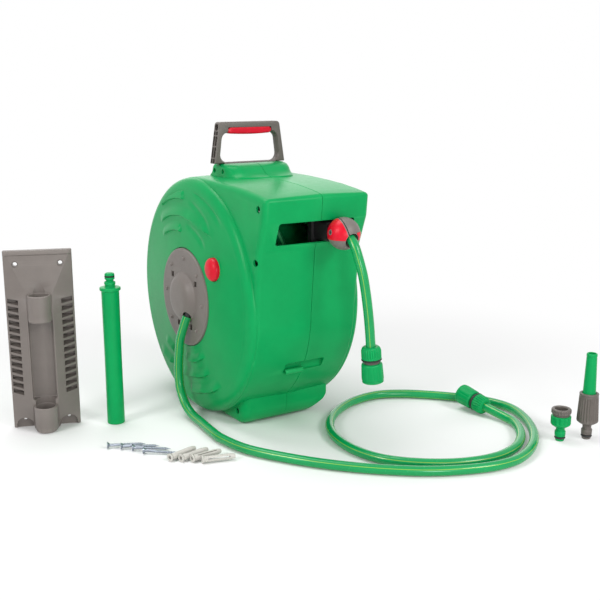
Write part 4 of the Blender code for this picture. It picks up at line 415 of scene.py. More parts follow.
def smooth_route(knots, spacing):
    """Evenly spaced points on a smooth curve through the knots, and its length."""
    knots = [Vector(knot) for knot in knots]
    ends = [2 * knots[0] - knots[1], *knots, 2 * knots[-1] - knots[-2]]
    fine = []
    for a, b, c, d in zip(ends, ends[1:], ends[2:], ends[3:]):
        for step in range(12):
            t = step / 12
            fine.append(0.5 * (2 * b + (c - a) * t + (2 * a - 5 * b + 4 * c - d) * t**2
                               + (3 * b - a - 3 * c + d) * t**3))
    fine.append(knots[-1])
    lengths = [0.0]
    for a, b in zip(fine, fine[1:]):
        lengths.append(lengths[-1] + (b - a).length)
    count = max(2, round(lengths[-1] / spacing))
    route, i = [], 0
    for step in range(count + 1):
        wanted = lengths[-1] * step / count
        while i < len(lengths) - 2 and lengths[i + 1] < wanted:
            i += 1
        share = (wanted - lengths[i]) / (lengths[i + 1] - lengths[i])
        route.append(fine[i].lerp(fine[i + 1], share))
    return route, lengths[-1]


def hose_tube(name, points, radius, sides=32, stripe_and_highlight_sides=(), first_side=(0, 0, 1),
              finishes=(HOSE, STRIPE)):
    """A round tube on a parallel-transport frame; the listed sides take a second colour: printed
    stripes on most hoses, painted highlight bands on the wound hose.
    """
    points = [Vector(point) for point in points]
    rings, side = [], None
    for i, point in enumerate(points):
        way = (points[min(i + 1, len(points) - 1)] - points[max(i - 1, 0)]).normalized()
        if side is None:
            side = Vector(first_side)
            if abs(side.dot(way)) > 0.95:
                side = Vector((1, 0, 0))
        side = (side - way * side.dot(way)).normalized()
        other = way.cross(side)
        rings.append([point + radius * (cos(TAU * k / sides) * side
                                        + sin(TAU * k / sides) * other)
                      for k in range(sides)])
    shape = bmesh.new()
    for row in skinned(shape, rings):
        for k in stripe_and_highlight_sides:
            row[k].material_index = 1
    obj = from_bmesh(name, shape)
    for finish in finishes:
        obj.data.materials.append(finish)
    return smoothed(obj, 50)


def ramp(low, high, value):
    share = min(1.0, max(0.0, (value - low) / (high - low)))
    return share * share * (3 - 2 * share)


def ribs(count, depth, low, high, sharp=2.0):
    """A lathe shaper that presses count grooves into the rows between two positions."""
    fade = 0.0012

    def shaper(radius, position, angle, row):
        wave = (0.5 + 0.5 * cos(count * angle)) ** sharp
        inside = ramp(low, low + fade, position) * (1 - ramp(high - fade, high, position))
        return radius - depth * wave * inside, position
    return shaper


# --- camera, cords
CAMERA_PLACE = Vector((-0.7666, -1.3546, 0.5393))
CAMERA_AIM = Vector((0.0, -0.165, 0.21))
camera_data = bpy.data.cameras.new("camera")
camera_data.lens = 55.8
camera_data.sensor_width = 36.0
camera = shown("camera", camera_data)
camera.location = CAMERA_PLACE
camera.rotation_euler = (CAMERA_AIM - CAMERA_PLACE).to_track_quat("-Z", "Y").to_euler()
scene.camera = camera

OUTLET_ROUTE = metres(
    (27, -260, 318), (27, -267.2, 312), (27.5, -274, 301.5),
    (29.5, -279.5, 286), (33.5, -283.5, 265), (37.5, -285.5, 240),
    (41, -286.5, 215), (44, -287, 190), (46.5, -287, 165),
    (48.6, -287, 143),
)
LEADER_DROP = metres(
    (-126.2, -21.5, 170), (-130, -20, 159), (-132.7, -17.2, 147),
    (-134.5, -11, 130), (-134, -4, 105), (-134, -0.5, 78),
    (-134.5, -4, 48), (-134.5, -21, 24), (-133.5, -46, 11),
)
LEADER_ON_GROUND = metres(
    (-134.5, -83), (-138.5, -125), (-139.5, -160), (-129, -215), (-101, -269),
    (-60.5, -327), (-10, -381), (50, -428), (115, -458), (165, -466),
    (206, -457), (248, -433), (286, -397), (317, -350), (334, -301),
    (326, -255), (298, -212), (266, -176), (229, -144), (185, -124),
    (129, -130), (77, -157), (37, -196), (12, -245), (5, -303),
    (19, -356), (55, -398), (105, -429), (158, -441), (206, -433),
    (242, -412), (270, -384), (289, -353),
)
LEADER_RISE = metres((291, -328, 10), (287.5, -301.4, 14), (286.2, -275.7, 17.9))
LEADER_ROUTE = (*LEADER_DROP, *((x, y, HOSE_ON_GROUND) for x, y in LEADER_ON_GROUND), *LEADER_RISE)
LEADER_TIP = (0.2842, -0.2325, 0.0243)


def connector(prefix, hose_end, tip, body, sleeve_body):
    """The ribbed nut, black collar, neck and release sleeve on a hose end."""
    way = (Vector(tip) - Vector(hose_end)).normalized()
    start = Vector(hose_end) - way * INSERTION
    lay = laid_along(start, start + way)
    inner, thread, shoulder = HOSE_RADIUS + CLEARANCE, NECK + 0.001, INSERTION + CLEARANCE
    collar = NUT_LENGTH + CLEARANCE
    collar_end = collar + COLLAR_LENGTH
    low = collar_end + SLEEVE_GAP
    high = low + SLEEVE_LENGTH
    profile = [(inner, 0.0)]
    profile += mm((-5, 0), (-3.7, 0.4), (-2.4, 1.2), (-1.3, 2.6), (-0.6, 4.4), r=NUT)
    profile += [(NUT, NUT_LENGTH * k / 12) for k in range(4, 12)]
    profile += mm((-0.2, -0.5), (-0.8, 0), r=NUT, z=NUT_LENGTH)
    profile += [(thread + CLEARANCE, NUT_LENGTH), (thread + CLEARANCE, shoulder), (inner, shoulder)]
    nut = turn(prefix + "_clamp_nut", profile, lay, steps=168, closed=True,
               shape_of=ribs(24, 0.0013, 0.0004, NUT_LENGTH - 0.0014, 1.2))
    profile = [(CONNECTOR_BORE, shoulder + CLEARANCE), (thread, shoulder + CLEARANCE),
               (thread, collar), *mm((-0.4, 0), (0, 0.4), r=COLLAR, z=collar),
               *mm((0, -0.4), (-0.4, 0), r=COLLAR, z=collar_end), (NECK, collar_end),
               (NECK, collar_end + 0.003), *mm((0, -0.5), (-0.6, 0), r=NECK, z=BODY_END),
               *mm((0.6, 0), (0, -0.8), r=SOCKET, z=BODY_END), (SOCKET, SOCKET_FLOOR),
               (CONNECTOR_BORE, SOCKET_FLOOR)]
    core = dressed(turn(prefix + "_quick_body", profile, lay, steps=72, closed=True), DARK_GREY)
    core.data.materials.append(BLACK)
    back = lay.inverted()
    for face in core.data.polygons:
        place = back @ face.center
        if (NUT_LENGTH < place.z < collar_end + 0.0002
                and hypot(place.x, place.y) > NECK + 0.0006):
            face.material_index = 1
    hold = NECK + 0.0004
    profile = [(hold, low), *mm((-3.6, 0), (-2.4, 0.4), (-1.3, 1.4), (-0.9, 2.8), r=SLEEVE, z=low)]
    profile += mm(*((-0.7 + 0.7 * k / 6, 4.5 + 2.8 * k) for k in range(7)), r=SLEEVE, z=low)
    profile += mm((0, -6.2), (0, -5), (-1.3, -4.6), (-1.2, -3), (-0.5, -2.2), (-0.6, -0.4),
                  (-1.2, 0), r=SLEEVE, z=high)
    profile += mm((0.5, 0), (0, -0.8), r=hold, z=high)
    sleeve = turn(prefix + "_release_sleeve", profile, lay, steps=144, closed=True,
                  shape_of=ribs(12, 0.0007, low + 0.0035, high - 0.0064, 6.0))
    finished(nut, GREEN, 40, body, prefix + "_nut")
    settled(core, body, prefix + "_body")
    finished(sleeve, GREEN, 40, sleeve_body, prefix + "_sleeve")
    return [nut, core, sleeve]


leader_points, leader_length = smooth_route(LEADER_ROUTE, 0.006)
leader = hose_tube("leader_hose_form", leader_points, DRAWN_HOSE_RADIUS, 48, (4, 16, 28, 40))
settled(leader, "housing", "leader_hose")
leader_fittings = connector("leader", LEADER_ROUTE[-1], LEADER_TIP, "housing", "leader_release")
outlet_points, outlet_length = smooth_route(OUTLET_ROUTE, 0.004)
outlet = hose_tube("outlet_hose_form", outlet_points, DRAWN_HOSE_RADIUS, 48, (6, 18, 30, 42),
                   (0, -1, 0))
settled(outlet, "carriage", "outlet_hose")
outlet_last = Vector(OUTLET_ROUTE[-1])
outlet_fittings = connector("outlet", outlet_last, 2 * outlet_last - Vector(OUTLET_ROUTE[-2]),
                            "carriage", "outlet_release")


# --- housing
def housing_outline(steps=108):
    outline = []
    for step in range(steps + 1):
        angle = pi + 1.5 * pi * step / steps
        outline.append((HOUSING_RADIUS * cos(angle),
                        AXLE_HEIGHT + HOUSING_RADIUS * sin(angle), 0))
    for y, drop in metres((-60, 0.5), (-122, 3), (-160, 5.5), (-200, 10)):
        outline.append((y, HOUSING_TOP - drop, 0))
    for back, drop, radius in metres((0, 14.5, 9), (4, 53, 30), (21, 98, 30)):
        outline.append((BOX_FRONT + back, HOUSING_TOP - drop, radius))
    return outline


def edge_sections(start, width, radius, draft, steps=6):
    sections = [(start, 0.0007), (start + 0.0002, 0.0003), (start + 0.0007, 0.0)]
    sections += [(start + (width - radius - start) * k / 4, draft * k / 4) for k in range(1, 5)]
    for step in range(1, steps + 1):
        angle = pi / 2 * step / steps
        sections.append((width - radius + radius * sin(angle),
                         draft + radius * (1 - cos(angle))))
    return sections


def signed(sections, sign):
    return [(sign * position, inset) for position, inset in sections]


# Moulded waves on the dished sides: (radius mm, angle deg) points, the angles over
# which each end fades, the raised side, the fade in mm and the height as a share
WAVES = (
    (((176, 47), (167, 66), (159, 84)), (8, 0.8), 1, 20, 1.1),
    (((151, 46), (137, 70), (128, 92), (127, 112), (139, 130)), (8, 14), 1, 18, 1.1),
    (((126, 44), (107, 80)), (8, 0.8), 1, 15, 1.1),
    (((133, -64), (121, -60), (133, -43)), (6, 8), -1, 18, 1.4),
    (((152, -62), (171, -42)), (3, 8), -1, 20, 1.4),
    (((107, -125), (110, -86)), (10, 3), -1, 16, 1.4),
    (((135, -123), (135, -97), (142, -79)), (10, 3), -1, 18, 1.5),
    (((165, -129), (161, -104), (166, -88)), (10, 3), -1, 18, 1.5),
)
WAVE_HEIGHT = 0.0033
RELIEF_STARTS, RELIEF_ENDS = (84, 88), (176, 181)
FURROWS = (
    ((172, 94), (168, 133)), ((157, 90), (137, 129)), ((118, 89), (110, 129)),
)
FURROW_FADES, FURROW_DEPTH, FURROW_WIDTH = (10, 12), 0.5, 4.5


def on_wave(points, fades, angle):
    """The radius of a wave's line at an angle, and how much of the wave is there."""
    first, last = points[0][1], points[-1][1]
    if first <= angle <= last:
        share = ramp(first, first + fades[0], angle) * (1 - ramp(last - fades[1], last, angle))
        for (r0, a0), (r1, a1) in zip(points, points[1:]):
            if angle <= a1:
                return r0 + (r1 - r0) * (angle - a0) / (a1 - a0), share
    return 0.0, 0.0


def relief(y, z):
    """Height of the moulded waves at a place on a dished side."""
    radius, angle = 1000 * hypot(y, z), degrees(atan2(z, y))
    height = 0.0
    for points, fades, side, fade, rise in WAVES:
        line, share = on_wave(points, fades, angle)
        away = side * (radius - line)
        height += rise * share * ramp(-0.7, 0.7, away) * (1 - ramp(2, fade, away))
    for points in FURROWS:
        line, share = on_wave(points, FURROW_FADES, angle)
        height -= FURROW_DEPTH * share * exp(-(((radius - line) / FURROW_WIDTH) ** 2))
    return WAVE_HEIGHT * height * ramp(*RELIEF_STARTS, radius) * (1 - ramp(*RELIEF_ENDS, radius))


def dish_cap(side, steps=448):
    """The thin dished wall of one side, with its rim, waves and the hub's seat."""
    width = HALF_WIDTH[side]
    foot, rim = width - 0.003, width + DISH_STEP
    crown = rim + DISH_RISE
    seat = crown - HUB_SEAT_DEPTH
    seat_radius = HUB_RADIUS + HUB_FIT
    outer = [(DISH_WALL_RADIUS, width - 0.006)]
    for step in range(13):
        angle = radians(7.5 * step)
        outer.append((DISH_FLAT + DISH_RIM_SPREAD * cos(angle),
                      foot + (rim - foot) * sin(angle)))
    slope = [(DISH_FLAT + (seat_radius + 0.001 - DISH_FLAT) * k / DISH_ROWS,
              rim + (crown - 0.0001 - rim) * k / DISH_ROWS) for k in range(1, DISH_ROWS + 1)]
    shaft = SHAFT_RADIUS + CLEARANCE
    inside = [*mm((0.3, -0.3), (0, -1), r=seat_radius, z=crown),
              (seat_radius, seat), (shaft, seat), (shaft, seat - WALL),
              (seat_radius + WALL, seat - WALL), (seat_radius + WALL, crown - WALL),
              (DISH_FLAT, rim - WALL), (DISH_EDGE - WALL - 0.002, rim - WALL - 0.002),
              (DISH_EDGE - WALL, width), (DISH_WALL_RADIUS - WALL, width - 0.006)]

    def waved(radius, position, angle, row):
        if 0 <= row - len(outer) < DISH_ROWS:
            position += relief(radius * cos(angle), radius * sin(angle))
        return radius, position

    cap = turn(side + "_dish", outer + slope + inside, ALONG_X, steps=steps, closed=True,
               shape_of=waved)
    if side == "left":
        cap.data.transform(Matrix.Scale(-1, 4, (1, 0, 0)))
        cap.data.flip_normals()
    cap.data.transform(Matrix.Translation(AXLE))
    return cap


def foot_slopes(inset):
    """The slanted underside of the foot's far end, as cutters."""
    slopes = []
    for x, angle in ((0.032, 14), (0.043, 38), (0.057, 56)):
        slope = block("slope", (-0.06, -0.3, -0.08), (0.1, 0.15, 0.0))
        lean = Matrix.Rotation(radians(-angle), 4, "Y")
        slope.data.transform(Matrix.Translation((x, 0, 0)) @ lean
                             @ Matrix.Translation((0, 0, inset)))
        slopes.append(slope)
    return slopes


def foot_block(name, side, start, wall, steps):
    """One half of the foot, or of the hollow in it where wall isn't 0."""
    length, taper = 0.081, 0.016 if side == "left" else 0.006
    sections = [(start, 0.0), (length - taper, 0.0)]
    for step in range(1, 9):
        angle = pi / 2 * step / 8
        sections.append((length - taper + (taper - wall) * sin(angle),
                         taper * (1 - cos(angle)) * 0.95))
    top = AXLE_HEIGHT - 0.123
    corners = [(-0.1245, top, 0), (-0.1245, 0.0, 0.03), (0.11, 0.0, 0.006), (0.11, top, 0)]
    foot = prism(name, inset_corners(corners, wall), signed(sections, SIDE_SIGN[side]), steps=steps)
    return cut(foot, *foot_slopes(wall)) if side == "right" else foot


def pocket_block(name, grow):
    face = sqrt(HOUSING_RADIUS**2 - (AXLE_HEIGHT - POCKET[3]) ** 2)
    left, right, low, high = POCKET
    corners = rectangle(left - grow, right + grow, low - grow, high + grow, 0.0035)
    inner = face - POCKET_DEPTH - grow
    sections = mm((0, 1.5), (1.5, 0), r=inner)
    sections += mm((-4.5, 0), (-1.5, -0.8), (6, -4.5), r=face)
    if grow:
        sections = [(inner, 0.0), (face + 0.03, 0.0)]
    return prism(name, corners, sections, ALONG_Y, 5)


def hollow(side):
    width = HALF_WIDTH[side]
    sections = [(-WALL, WALL), (width - EDGE_RADIUS, WALL + MOULD_DRAFT),
                (width - WALL, MOULD_DRAFT + EDGE_RADIUS)]
    made = prism("hollow", housing_outline(36), signed(sections, SIDE_SIGN[side]), steps=3)
    join(made, foot_block("hollow_foot", side, -WALL, WALL, 4))
    return cut(made, pocket_block("pocket_walls", WALL))


def slot_lip():
    """Takes the sharp corner off the slot's lower edge."""
    edge = block("lip", (SLOT[0] + 0.003, -0.002, -0.002), (SLOT[1] - 0.003, 0.002, 0.002))
    lean = Matrix.Rotation(radians(35), 4, "X")
    edge.data.transform(Matrix.Translation((0, -0.2112, SLOT[2])) @ lean)
    return edge


# Rings of the hump: rise, half length, front, back and the front corners' radius
HUMP_LEVELS = metres(
    (-12, 61.5, -87, 22, 46), (0, 60.6, -78, 16.5, 41),
    (1.5, 60.2, -72, 14.3, 36), (3.5, 59.9, -66, 12.5, 31),
    (6.5, 59.7, -60.7, 11.2, 27), (10, 59.5, -56.3, 10.3, 24),
    (13, 59.2, -52.3, 9.6, 22), (15.5, 58.3, -48, 8.5, 20),
    (17.2, 56.8, -43, 7, 18), (18.1, 55, -38.5, 5.5, 16),
    (18.5, 53, -34.5, 3.5, 14),
)


def hump(side):
    """The raised seat of the handle, rounded in plan and filleted into the top."""
    rings = []
    for rise, half, front, back, turned in HUMP_LEVELS:
        corners = rectangle(-half, half, front, back, turned, 0.007)
        rings.append([Vector((p.x, p.y, HOUSING_TOP + rise)) for p in rounded(corners, 12)])
    sign = SIDE_SIGN[side]
    near, far = sorted((-sign * 0.1, sign * SEAM_GAP / 2))
    made = cut(loft("hump", rings), block("beyond", (near, -0.12, 0.3), (far, 0.06, 0.5)))
    bevel = made.modifiers.new("soften", "BEVEL")
    bevel.width = 0.0007
    bevel.segments = 1
    bevel.limit_method = "ANGLE"
    bevel.angle_limit = radians(60)
    bevel.harden_normals = False
    return baked(made)


def knuckle(side):
    """Half of the eye on the back of the housing that turns on the pivot tube."""
    sign, start, radius, web = SIDE_SIGN[side], SEAM_GAP / 2, 0.0205, 0.0125
    side_way, seam_way = asin(web / radius), pi - asin(start / radius)
    outline = [(start, 0.17), (web, 0.17)]
    for step in range(25):
        angle = side_way + (seam_way - side_way) * step / 24
        outline.append((radius * sin(angle), KNUCKLE_Y - radius * cos(angle)))
    return loft("knuckle", [[Vector((sign * x, y, z)) for x, y in outline] for z in (0.13, 0.26)])


# Places (x, y, z) and radii of the screw wells in the left half
SCREW_WELLS = metres(
    (-96.5, -204.6, 363, 5.4), (-95.5, -194, 283, 5.4), (-79, -104, 24.5, 5.2),
    (-59.7, -1, 402, 3.8), (-59.7, -29, 402, 3.8), (-32.5, -171.2, 99.4, 2.3),
)


def button_face_x():
    share = ((DISH_FLAT - hypot(BUTTON_Y, BUTTON_Z - AXLE_HEIGHT))
             / (DISH_FLAT - HUB_RADIUS - HUB_FIT))
    return -(HALF_WIDTH["left"] + DISH_STEP + DISH_RISE * share)


def shell(side):
    sign, width, start = SIDE_SIGN[side], HALF_WIDTH[side], SEAM_GAP / 2
    sections = edge_sections(start, width, EDGE_RADIUS, MOULD_DRAFT)
    made = prism(side + "_housing_half", housing_outline(), signed(sections, sign))
    join(made, foot_block("foot", side, start, 0, 10), hump(side), knuckle(side))
    cut(made, hollow(side), rod("knuckle_bore", (0, KNUCKLE_Y, 0.12), (0, KNUCKLE_Y, 0.27),
                                PIVOT_BORE, 64))
    cut(made, prism("slot", rectangle(*SLOT, 0.004), [(0.19, 0), (0.25, 0)], ALONG_Y, 8),
        slot_lip(), pocket_block("pocket", 0.0),
        block("handle_seat", (-0.0518, -0.0213, HUMP_TOP - 0.0083),
              (0.0448, -0.0037, HUMP_TOP + 0.01)),
        rod("dish_opening", (sign * (width - 0.012), 0, AXLE_HEIGHT),
            (sign * (width + 0.01), 0, AXLE_HEIGHT), DISH_WALL_RADIUS - 0.0018, 144))
    join(made, dish_cap(side))
    if side == "left":
        x, y, z, _ = SCREW_WELLS[-1]
        join(made, rod("barrel", (x, y, z), (-start, y, z), 0.0043, 40))
        for x, y, z, radius in SCREW_WELLS:
            profile = [(0, x - 0.004), *mm((0, -4), (0, 0), (-0.3, 3), (-0.3, 26), r=radius, z=x),
                       (0, x + 0.026)]
            cut(made, turn("well", profile, ALONG_X, (0, y, z), 32))
        face, radius = button_face_x(), BUTTON_RADIUS + 0.0004
        outer, stem = BUTTON_RADIUS + 0.0034, 0.0054
        middle = (0, BUTTON_Y, BUTTON_Z)
        guide = turn("guide", [(0, face + 0.022), (outer, face + 0.022), (outer, face + 0.0015),
                               (0, face + 0.0015)], ALONG_X, middle, 48)
        profile = [(0, face - 0.01), *mm((1, -10), (1, -0.3), (0, 0.8), (0, 20), r=radius, z=face),
                   (stem, face + 0.02), (stem, face + 0.03), (0, face + 0.03)]
        well = turn("well", profile, ALONG_X, middle, 96)
        cut(join(made, guide), well)
    finished(made, GREEN, 28, "housing", side + "_shell")


shell("left")
shell("right")


# --- hub covers
def spots(radius, angles):
    """Places (y, z) around the axle."""
    return [(radius * cos(radians(a)), AXLE_HEIGHT + radius * sin(radians(a)))
            for a in angles]


def inlet_hub():
    """The grey inlet cover: plate, soft dome, eight pins, slots and the hose's hole."""
    back = -(HALF_WIDTH["left"] + DISH_STEP + DISH_RISE - HUB_SEAT_DEPTH + CLEARANCE)
    face = back - HUB_PLATE
    profile = mm((0, -11), (22, -10.5), (32, -8), (40.5, -1), z=face)
    profile += [(0.0405, back), (HUB_RADIUS, back)]
    profile += mm((0, 1.6), (-0.5, 0.6), (-1.6, 0), (-6, 0), r=HUB_RADIUS, z=face)
    profile += mm((60, 0), (50, 0), (44.6, -0.1), (42.5, 0), (41.5, -0.7), (40, -2.4), (38, -5.2),
                  (35, -8.2), (31.2, -10.7), (26.5, -12.2), (21, -13), (14, -13.35), (7, -13.48),
                  (0, -13.5), z=face)
    cover = turn("inlet_hub", profile, ALONG_X, AXLE, 160)
    start = Vector(LEADER_ROUTE[0])
    way = (leader_points[1] - leader_points[0]).normalized()
    cut(cover, rod("hole", start - way * 0.014, start + way * 0.02, HOSE_RADIUS + 0.0006, 72))
    for y, z in spots(0.0515, (39, 146, -66, -117)):
        cut(cover, block("bar", (face - 0.002, y - 0.0048, z - 0.0046),
                         (face + 0.0066, y + 0.0048, z + 0.0046)))
    pin = mm((0, 0.6), (3.4, 0.6), (3.4, -0.4), (3.1, -0.6), (2.8, -0.6), (2.7, -1.6), (2.2, -2.4),
             (1.2, -2.9), (0, -3), z=face)
    for y, z in spots(0.0645, [3 + 45 * k for k in range(8)]):
        absorb(cover, turn("pin", pin, ALONG_X, (0, y, z), 24))
    finished(cover, GREY, 32, "housing", "inlet_cover")


def spring_hub():
    """The grey cover on the spring's side, with a stepped boss and screws."""
    back = HALF_WIDTH["right"] + DISH_STEP + DISH_RISE - HUB_SEAT_DEPTH + CLEARANCE
    face = back + HUB_PLATE
    profile = mm((0, 3.5), (23.5, 3.5), (24.5, 3.1), (26.8, 1.2), (27.5, 0.6), (29, 0), (44, 0),
                 (44.6, -0.6), (46, -0.6), (46.6, 0), (73, 0), z=face)
    profile += mm((-1.6, 0), (-0.5, -0.6), (0, -1.6), r=HUB_RADIUS, z=face)
    cover = turn("spring_hub", profile + [(HUB_RADIUS, back), (0.0, back)], ALONG_X, AXLE, 160)
    screw = mm((0, -1.6), (3, -1.6), (3, -0.8), (2.2, -0.3), (0, -0.1), z=face)
    for y, z in spots(0.0645, [22.5 + 60 * k for k in range(6)]):
        cut(cover, rod("well", (face - 0.0016, y, z), (face + 0.01, y, z), 0.0034, 28))
        absorb(cover, turn("screw", screw, ALONG_X, (0, y, z), 28))
    finished(cover, GREY, 32, "housing", "spring_side_cover")


inlet_hub()
spring_hub()


# --- handle
def carry_handle():
    """The closed grey frame with its hollow end and ribbed pockets, and the red grip."""
    centre, foot, top_half, top = -0.0035, 0.066, 0.056, HUMP_TOP + 0.066
    tenon, low, shoulder = HUMP_HALF_LENGTH - 0.0115, HUMP_TOP - 0.008, HUMP_TOP + CLEARANCE
    outline = [(centre - foot, shoulder, 0.001), (centre - tenon, shoulder, 0),
               (centre - tenon, low, 0), (centre + tenon, low, 0), (centre + tenon, shoulder, 0),
               (centre + foot, shoulder, 0.001), (centre + top_half, top, 0.006),
               (centre - top_half, top, 0.005)]
    back, front = 0.004, 0.021
    sections = mm((0, 2), (0.3, 1.2), (1, 0.4), (2, 0), r=back)
    sections += mm((-2, 0), (-1, 0.4), (-0.3, 1.2), (0, 2), r=front)
    made = prism("carry_handle", outline, sections, ALONG_Y, 8)
    half, w_low, w_high = foot - 0.0115, HUMP_TOP + 0.002, top - 0.017
    window = [(centre - half, w_low, 0.012), (centre + half, w_low, 0.012),
              (centre + half - 0.006, w_high, 0.012), (centre - half + 0.006, w_high, 0.012)]
    flare = mm((-4, -4), (-0.5, -3.2), (3, -1.2), (5.5, 0), r=back)
    flare += mm((-5.5, 0), (-3, -1.2), (0.5, -3.2), (4, -4), r=front)
    bore_z, middle = top - 0.0085, -0.0125
    cut(made, prism("window", window, flare, ALONG_Y, 10),
        block("rebate", (centre - 0.0403, -0.03, w_high - 0.004),
              (centre + 0.0403, 0.01, w_high + 0.0085)),
        rod("bore", (centre - foot - 0.01, middle, bore_z),
            (centre - top_half + 0.022, middle, bore_z), 0.0056, 40))
    for low, tall in ((0.0015, 0.0065), (0.01, 0.0165), (0.0285, 0.015), (0.0455, 0.0055)):
        base = HUMP_TOP + low
        x = centre - foot + (foot - top_half) * (low + tall / 2) / (top - HUMP_TOP)
        for near, far in ((-0.0066, -0.0009), (0.0009, 0.0066)):
            corners = rectangle(middle + near, middle + far, base, base + tall, 0.0008)
            cut(made, prism("cell", corners, [(x - 0.01, 0), (x + 0.009, 0)], ALONG_X, 3))
    finished(made, DARK_GREY, 30, "housing", "handle_frame")
    low, high = w_high - 0.0015, w_high + 0.0082
    grip_front, grip_back, count = -0.0222, -0.0028, 18
    rings = []
    for k in range(count + 1):
        share = k / count
        pinch = 0.0022 * (1 - ramp(0, 0.004, min(share, 1 - share) * 0.08)) ** 1.5
        sag = 0.0014 * sin(pi * share)
        left, right, bottom = grip_front + pinch, grip_back - pinch, low - sag + pinch * 0.6
        corners = rectangle(left, right, bottom, high - pinch, 0.0035, 0.0012)
        x = centre - 0.04 + 0.08 * share
        rings.append([Vector((x, p.x, p.y)) for p in rounded(corners, 6)])
    finished(loft("grip_inlay", rings), RED, 35, "housing", "handle_grip")


carry_handle()


# --- stop ball
def stop_ball():
    """Two grey half balls clamped on the hose, with red inlays and a dark seam."""
    normal = Vector((0.918, -0.245, 0.312)).normalized()
    outlet = Vector(OUTLET_ROUTE[0])
    out_way = (Vector(OUTLET_ROUTE[1]) - outlet).normalized()

    def sphere(name, radius):
        angles = [radians(-90 + 3.75 * step) for step in range(49)]
        return turn(name, [(radius * cos(a), radius * sin(a)) for a in angles],
                    centre=BALL_CENTRE)

    def half_space(keep, gap):
        slab = block("slab", (-0.06, -0.06, -0.06), (gap, 0.06, 0.06))
        turn_to = Vector((1, 0, 0)).rotation_difference(normal * keep).to_matrix().to_4x4()
        slab.data.transform(Matrix.Translation(BALL_CENTRE) @ turn_to)
        return slab

    def slice_of(name, low, high):
        reach = Vector((0.05, 0.05, 0))
        return block(name, BALL_CENTRE - reach + Vector((0, 0, low)),
                     BALL_CENTRE + reach + Vector((0, 0, high)))

    def feed(radius):
        return rod("inlet", FEED_START, BALL_CENTRE, radius)

    sides = ((-1, "left", 0.0024, -0.0075, (-0.987, 0.017, 0.152)),
             (1, "right", 0.013, -0.009, (0.987, 0.017, -0.152)))
    for keep, side, inlay_gap, inlay_low, screw_way in sides:
        half = cut(sphere("ball_" + side, BALL_RADIUS), half_space(keep, 0.0007))
        profile = [(0, -0.0165), *mm((3.2, -16.5), (3.2, 5), (3.8, 7), (5.2, 8.5), (5.2, 20),
                                     r=HOSE_RADIUS), (0, 0.02)]
        mouth = turn("mouth", profile, laid_along(outlet, outlet + out_way), steps=64)
        dressed(cut(half, mouth, feed(HOSE_RADIUS + 0.0004)), GREY, 35)
        inlay = cut(sphere("inlay", BALL_RADIUS + 0.00045), sphere("core", BALL_RADIUS - 0.0006),
                    half_space(keep, inlay_gap), slice_of("below", -0.05, inlay_low))
        if keep > 0:
            cut(inlay, slice_of("above", 0.0035, 0.05))
        screw_way = Vector(screw_way).normalized()
        hole = (BALL_CENTRE + screw_way * (BALL_RADIUS - 0.006), BALL_CENTRE + screw_way * 0.03)
        cut(inlay, rod("ring", outlet - out_way * 0.0165, outlet + out_way * 0.02,
                       HOSE_RADIUS + 0.004, 64),
            feed(HOSE_RADIUS + 0.0035), rod("boss", *hole, 0.0046, 40))
        dressed(inlay, RED, 35)
        absorb(cut(half, rod("hole", *hole, 0.0026, 40)), inlay)
        settled(half, "carriage", "ball_half_" + side)


stop_ball()


# --- brake button
def brake_button():
    face = button_face_x()
    profile = [(0.0, BUTTON_PAD), *mm((13, 0), (13, -4), (5, -4), z=BUTTON_PAD)]
    profile += [(0.005, face + 0.006), (BUTTON_RADIUS, face + 0.006)]
    profile += mm((18.2, -2.2), (18, -3.4), (17.2, -5), (15.8, -6.6), (13.8, -7.9), (11.2, -8.9),
                  (8, -9.6), (4, -9.9), (0, -10), z=face)
    made = turn("stop_button", profile, ALONG_X, (0, BUTTON_Y, BUTTON_Z))
    finished(made, RED, 35, "button", "brake_button")
    start, end, coils, radius, steps = -0.1066, -0.096, 3.5, 0.01, 90
    route = [(start + (end - start) * k / steps,
              BUTTON_Y + radius * cos(TAU * coils * k / steps),
              BUTTON_Z + radius * sin(TAU * coils * k / steps)) for k in range(steps + 1)]
    spring = hose_tube("return_spring", route, 0.001, 12)
    finished(spring, STEEL, 60, "housing", "button_spring")
    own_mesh(spring)


brake_button()


# --- hose inside
def winding_route(per_turn=72):
    """The outer layer of wound hose as one helix whose two ends run straight."""
    pitch = 2 * HOSE_RADIUS + WINDING_GAP
    first, last = FLANGE_LEFT + HOSE_RADIUS + WINDING_GAP, BALL_CENTRE.x - pitch
    turns = (last - first) / pitch
    count = round(turns * per_turn)
    points = []
    for step in range(count + 1):
        angle = WINDING_END_ANGLE - TAU * turns * (1 - step / count)
        points.append(Vector((first + (last - first) * step / count,
                              WINDING_RADIUS * cos(angle),
                              AXLE_HEIGHT + WINDING_RADIUS * sin(angle))))
    for place, way in ((0, 1), (len(points) + 1, -1)):
        end = points[0] if way == 1 else points[-1]
        radial = Vector((0.0, end.y, end.z - AXLE_HEIGHT)).normalized()
        points.insert(place, end + Vector((1, 0, 0)).cross(radial) * -way * 0.015)
    return points


# The wound turns take the lightened hose colour (painted light) and bright painted highlight bands
# on sides 1, 2, 8, 9, 18 and 19.
winding = hose_tube("winding_form", winding_route(), HOSE_RADIUS, 20, (1, 2, 8, 9, 18, 19),
                    finishes=(WINDING_PAINTED_LIGHT, WINDING_STRIPE_PAINTED_HIGHLIGHT))
settled(winding, "drum", "hose_winding")
feed_way = (BALL_CENTRE - FEED_START).normalized()
swept = WINDING_RADIUS + 2 * HOSE_RADIUS + 0.001
feed_low = FEED_START + feed_way * sqrt(swept**2 - WINDING_RADIUS**2)
feed_high = BALL_CENTRE - feed_way * 0.012
feed_hose = hose_tube("feed_form", [feed_low.lerp(feed_high, k / 8) for k in range(9)],
                      HOSE_RADIUS, 32, (4, 12, 20, 28))
settled(feed_hose, "carriage", "feed_hose")


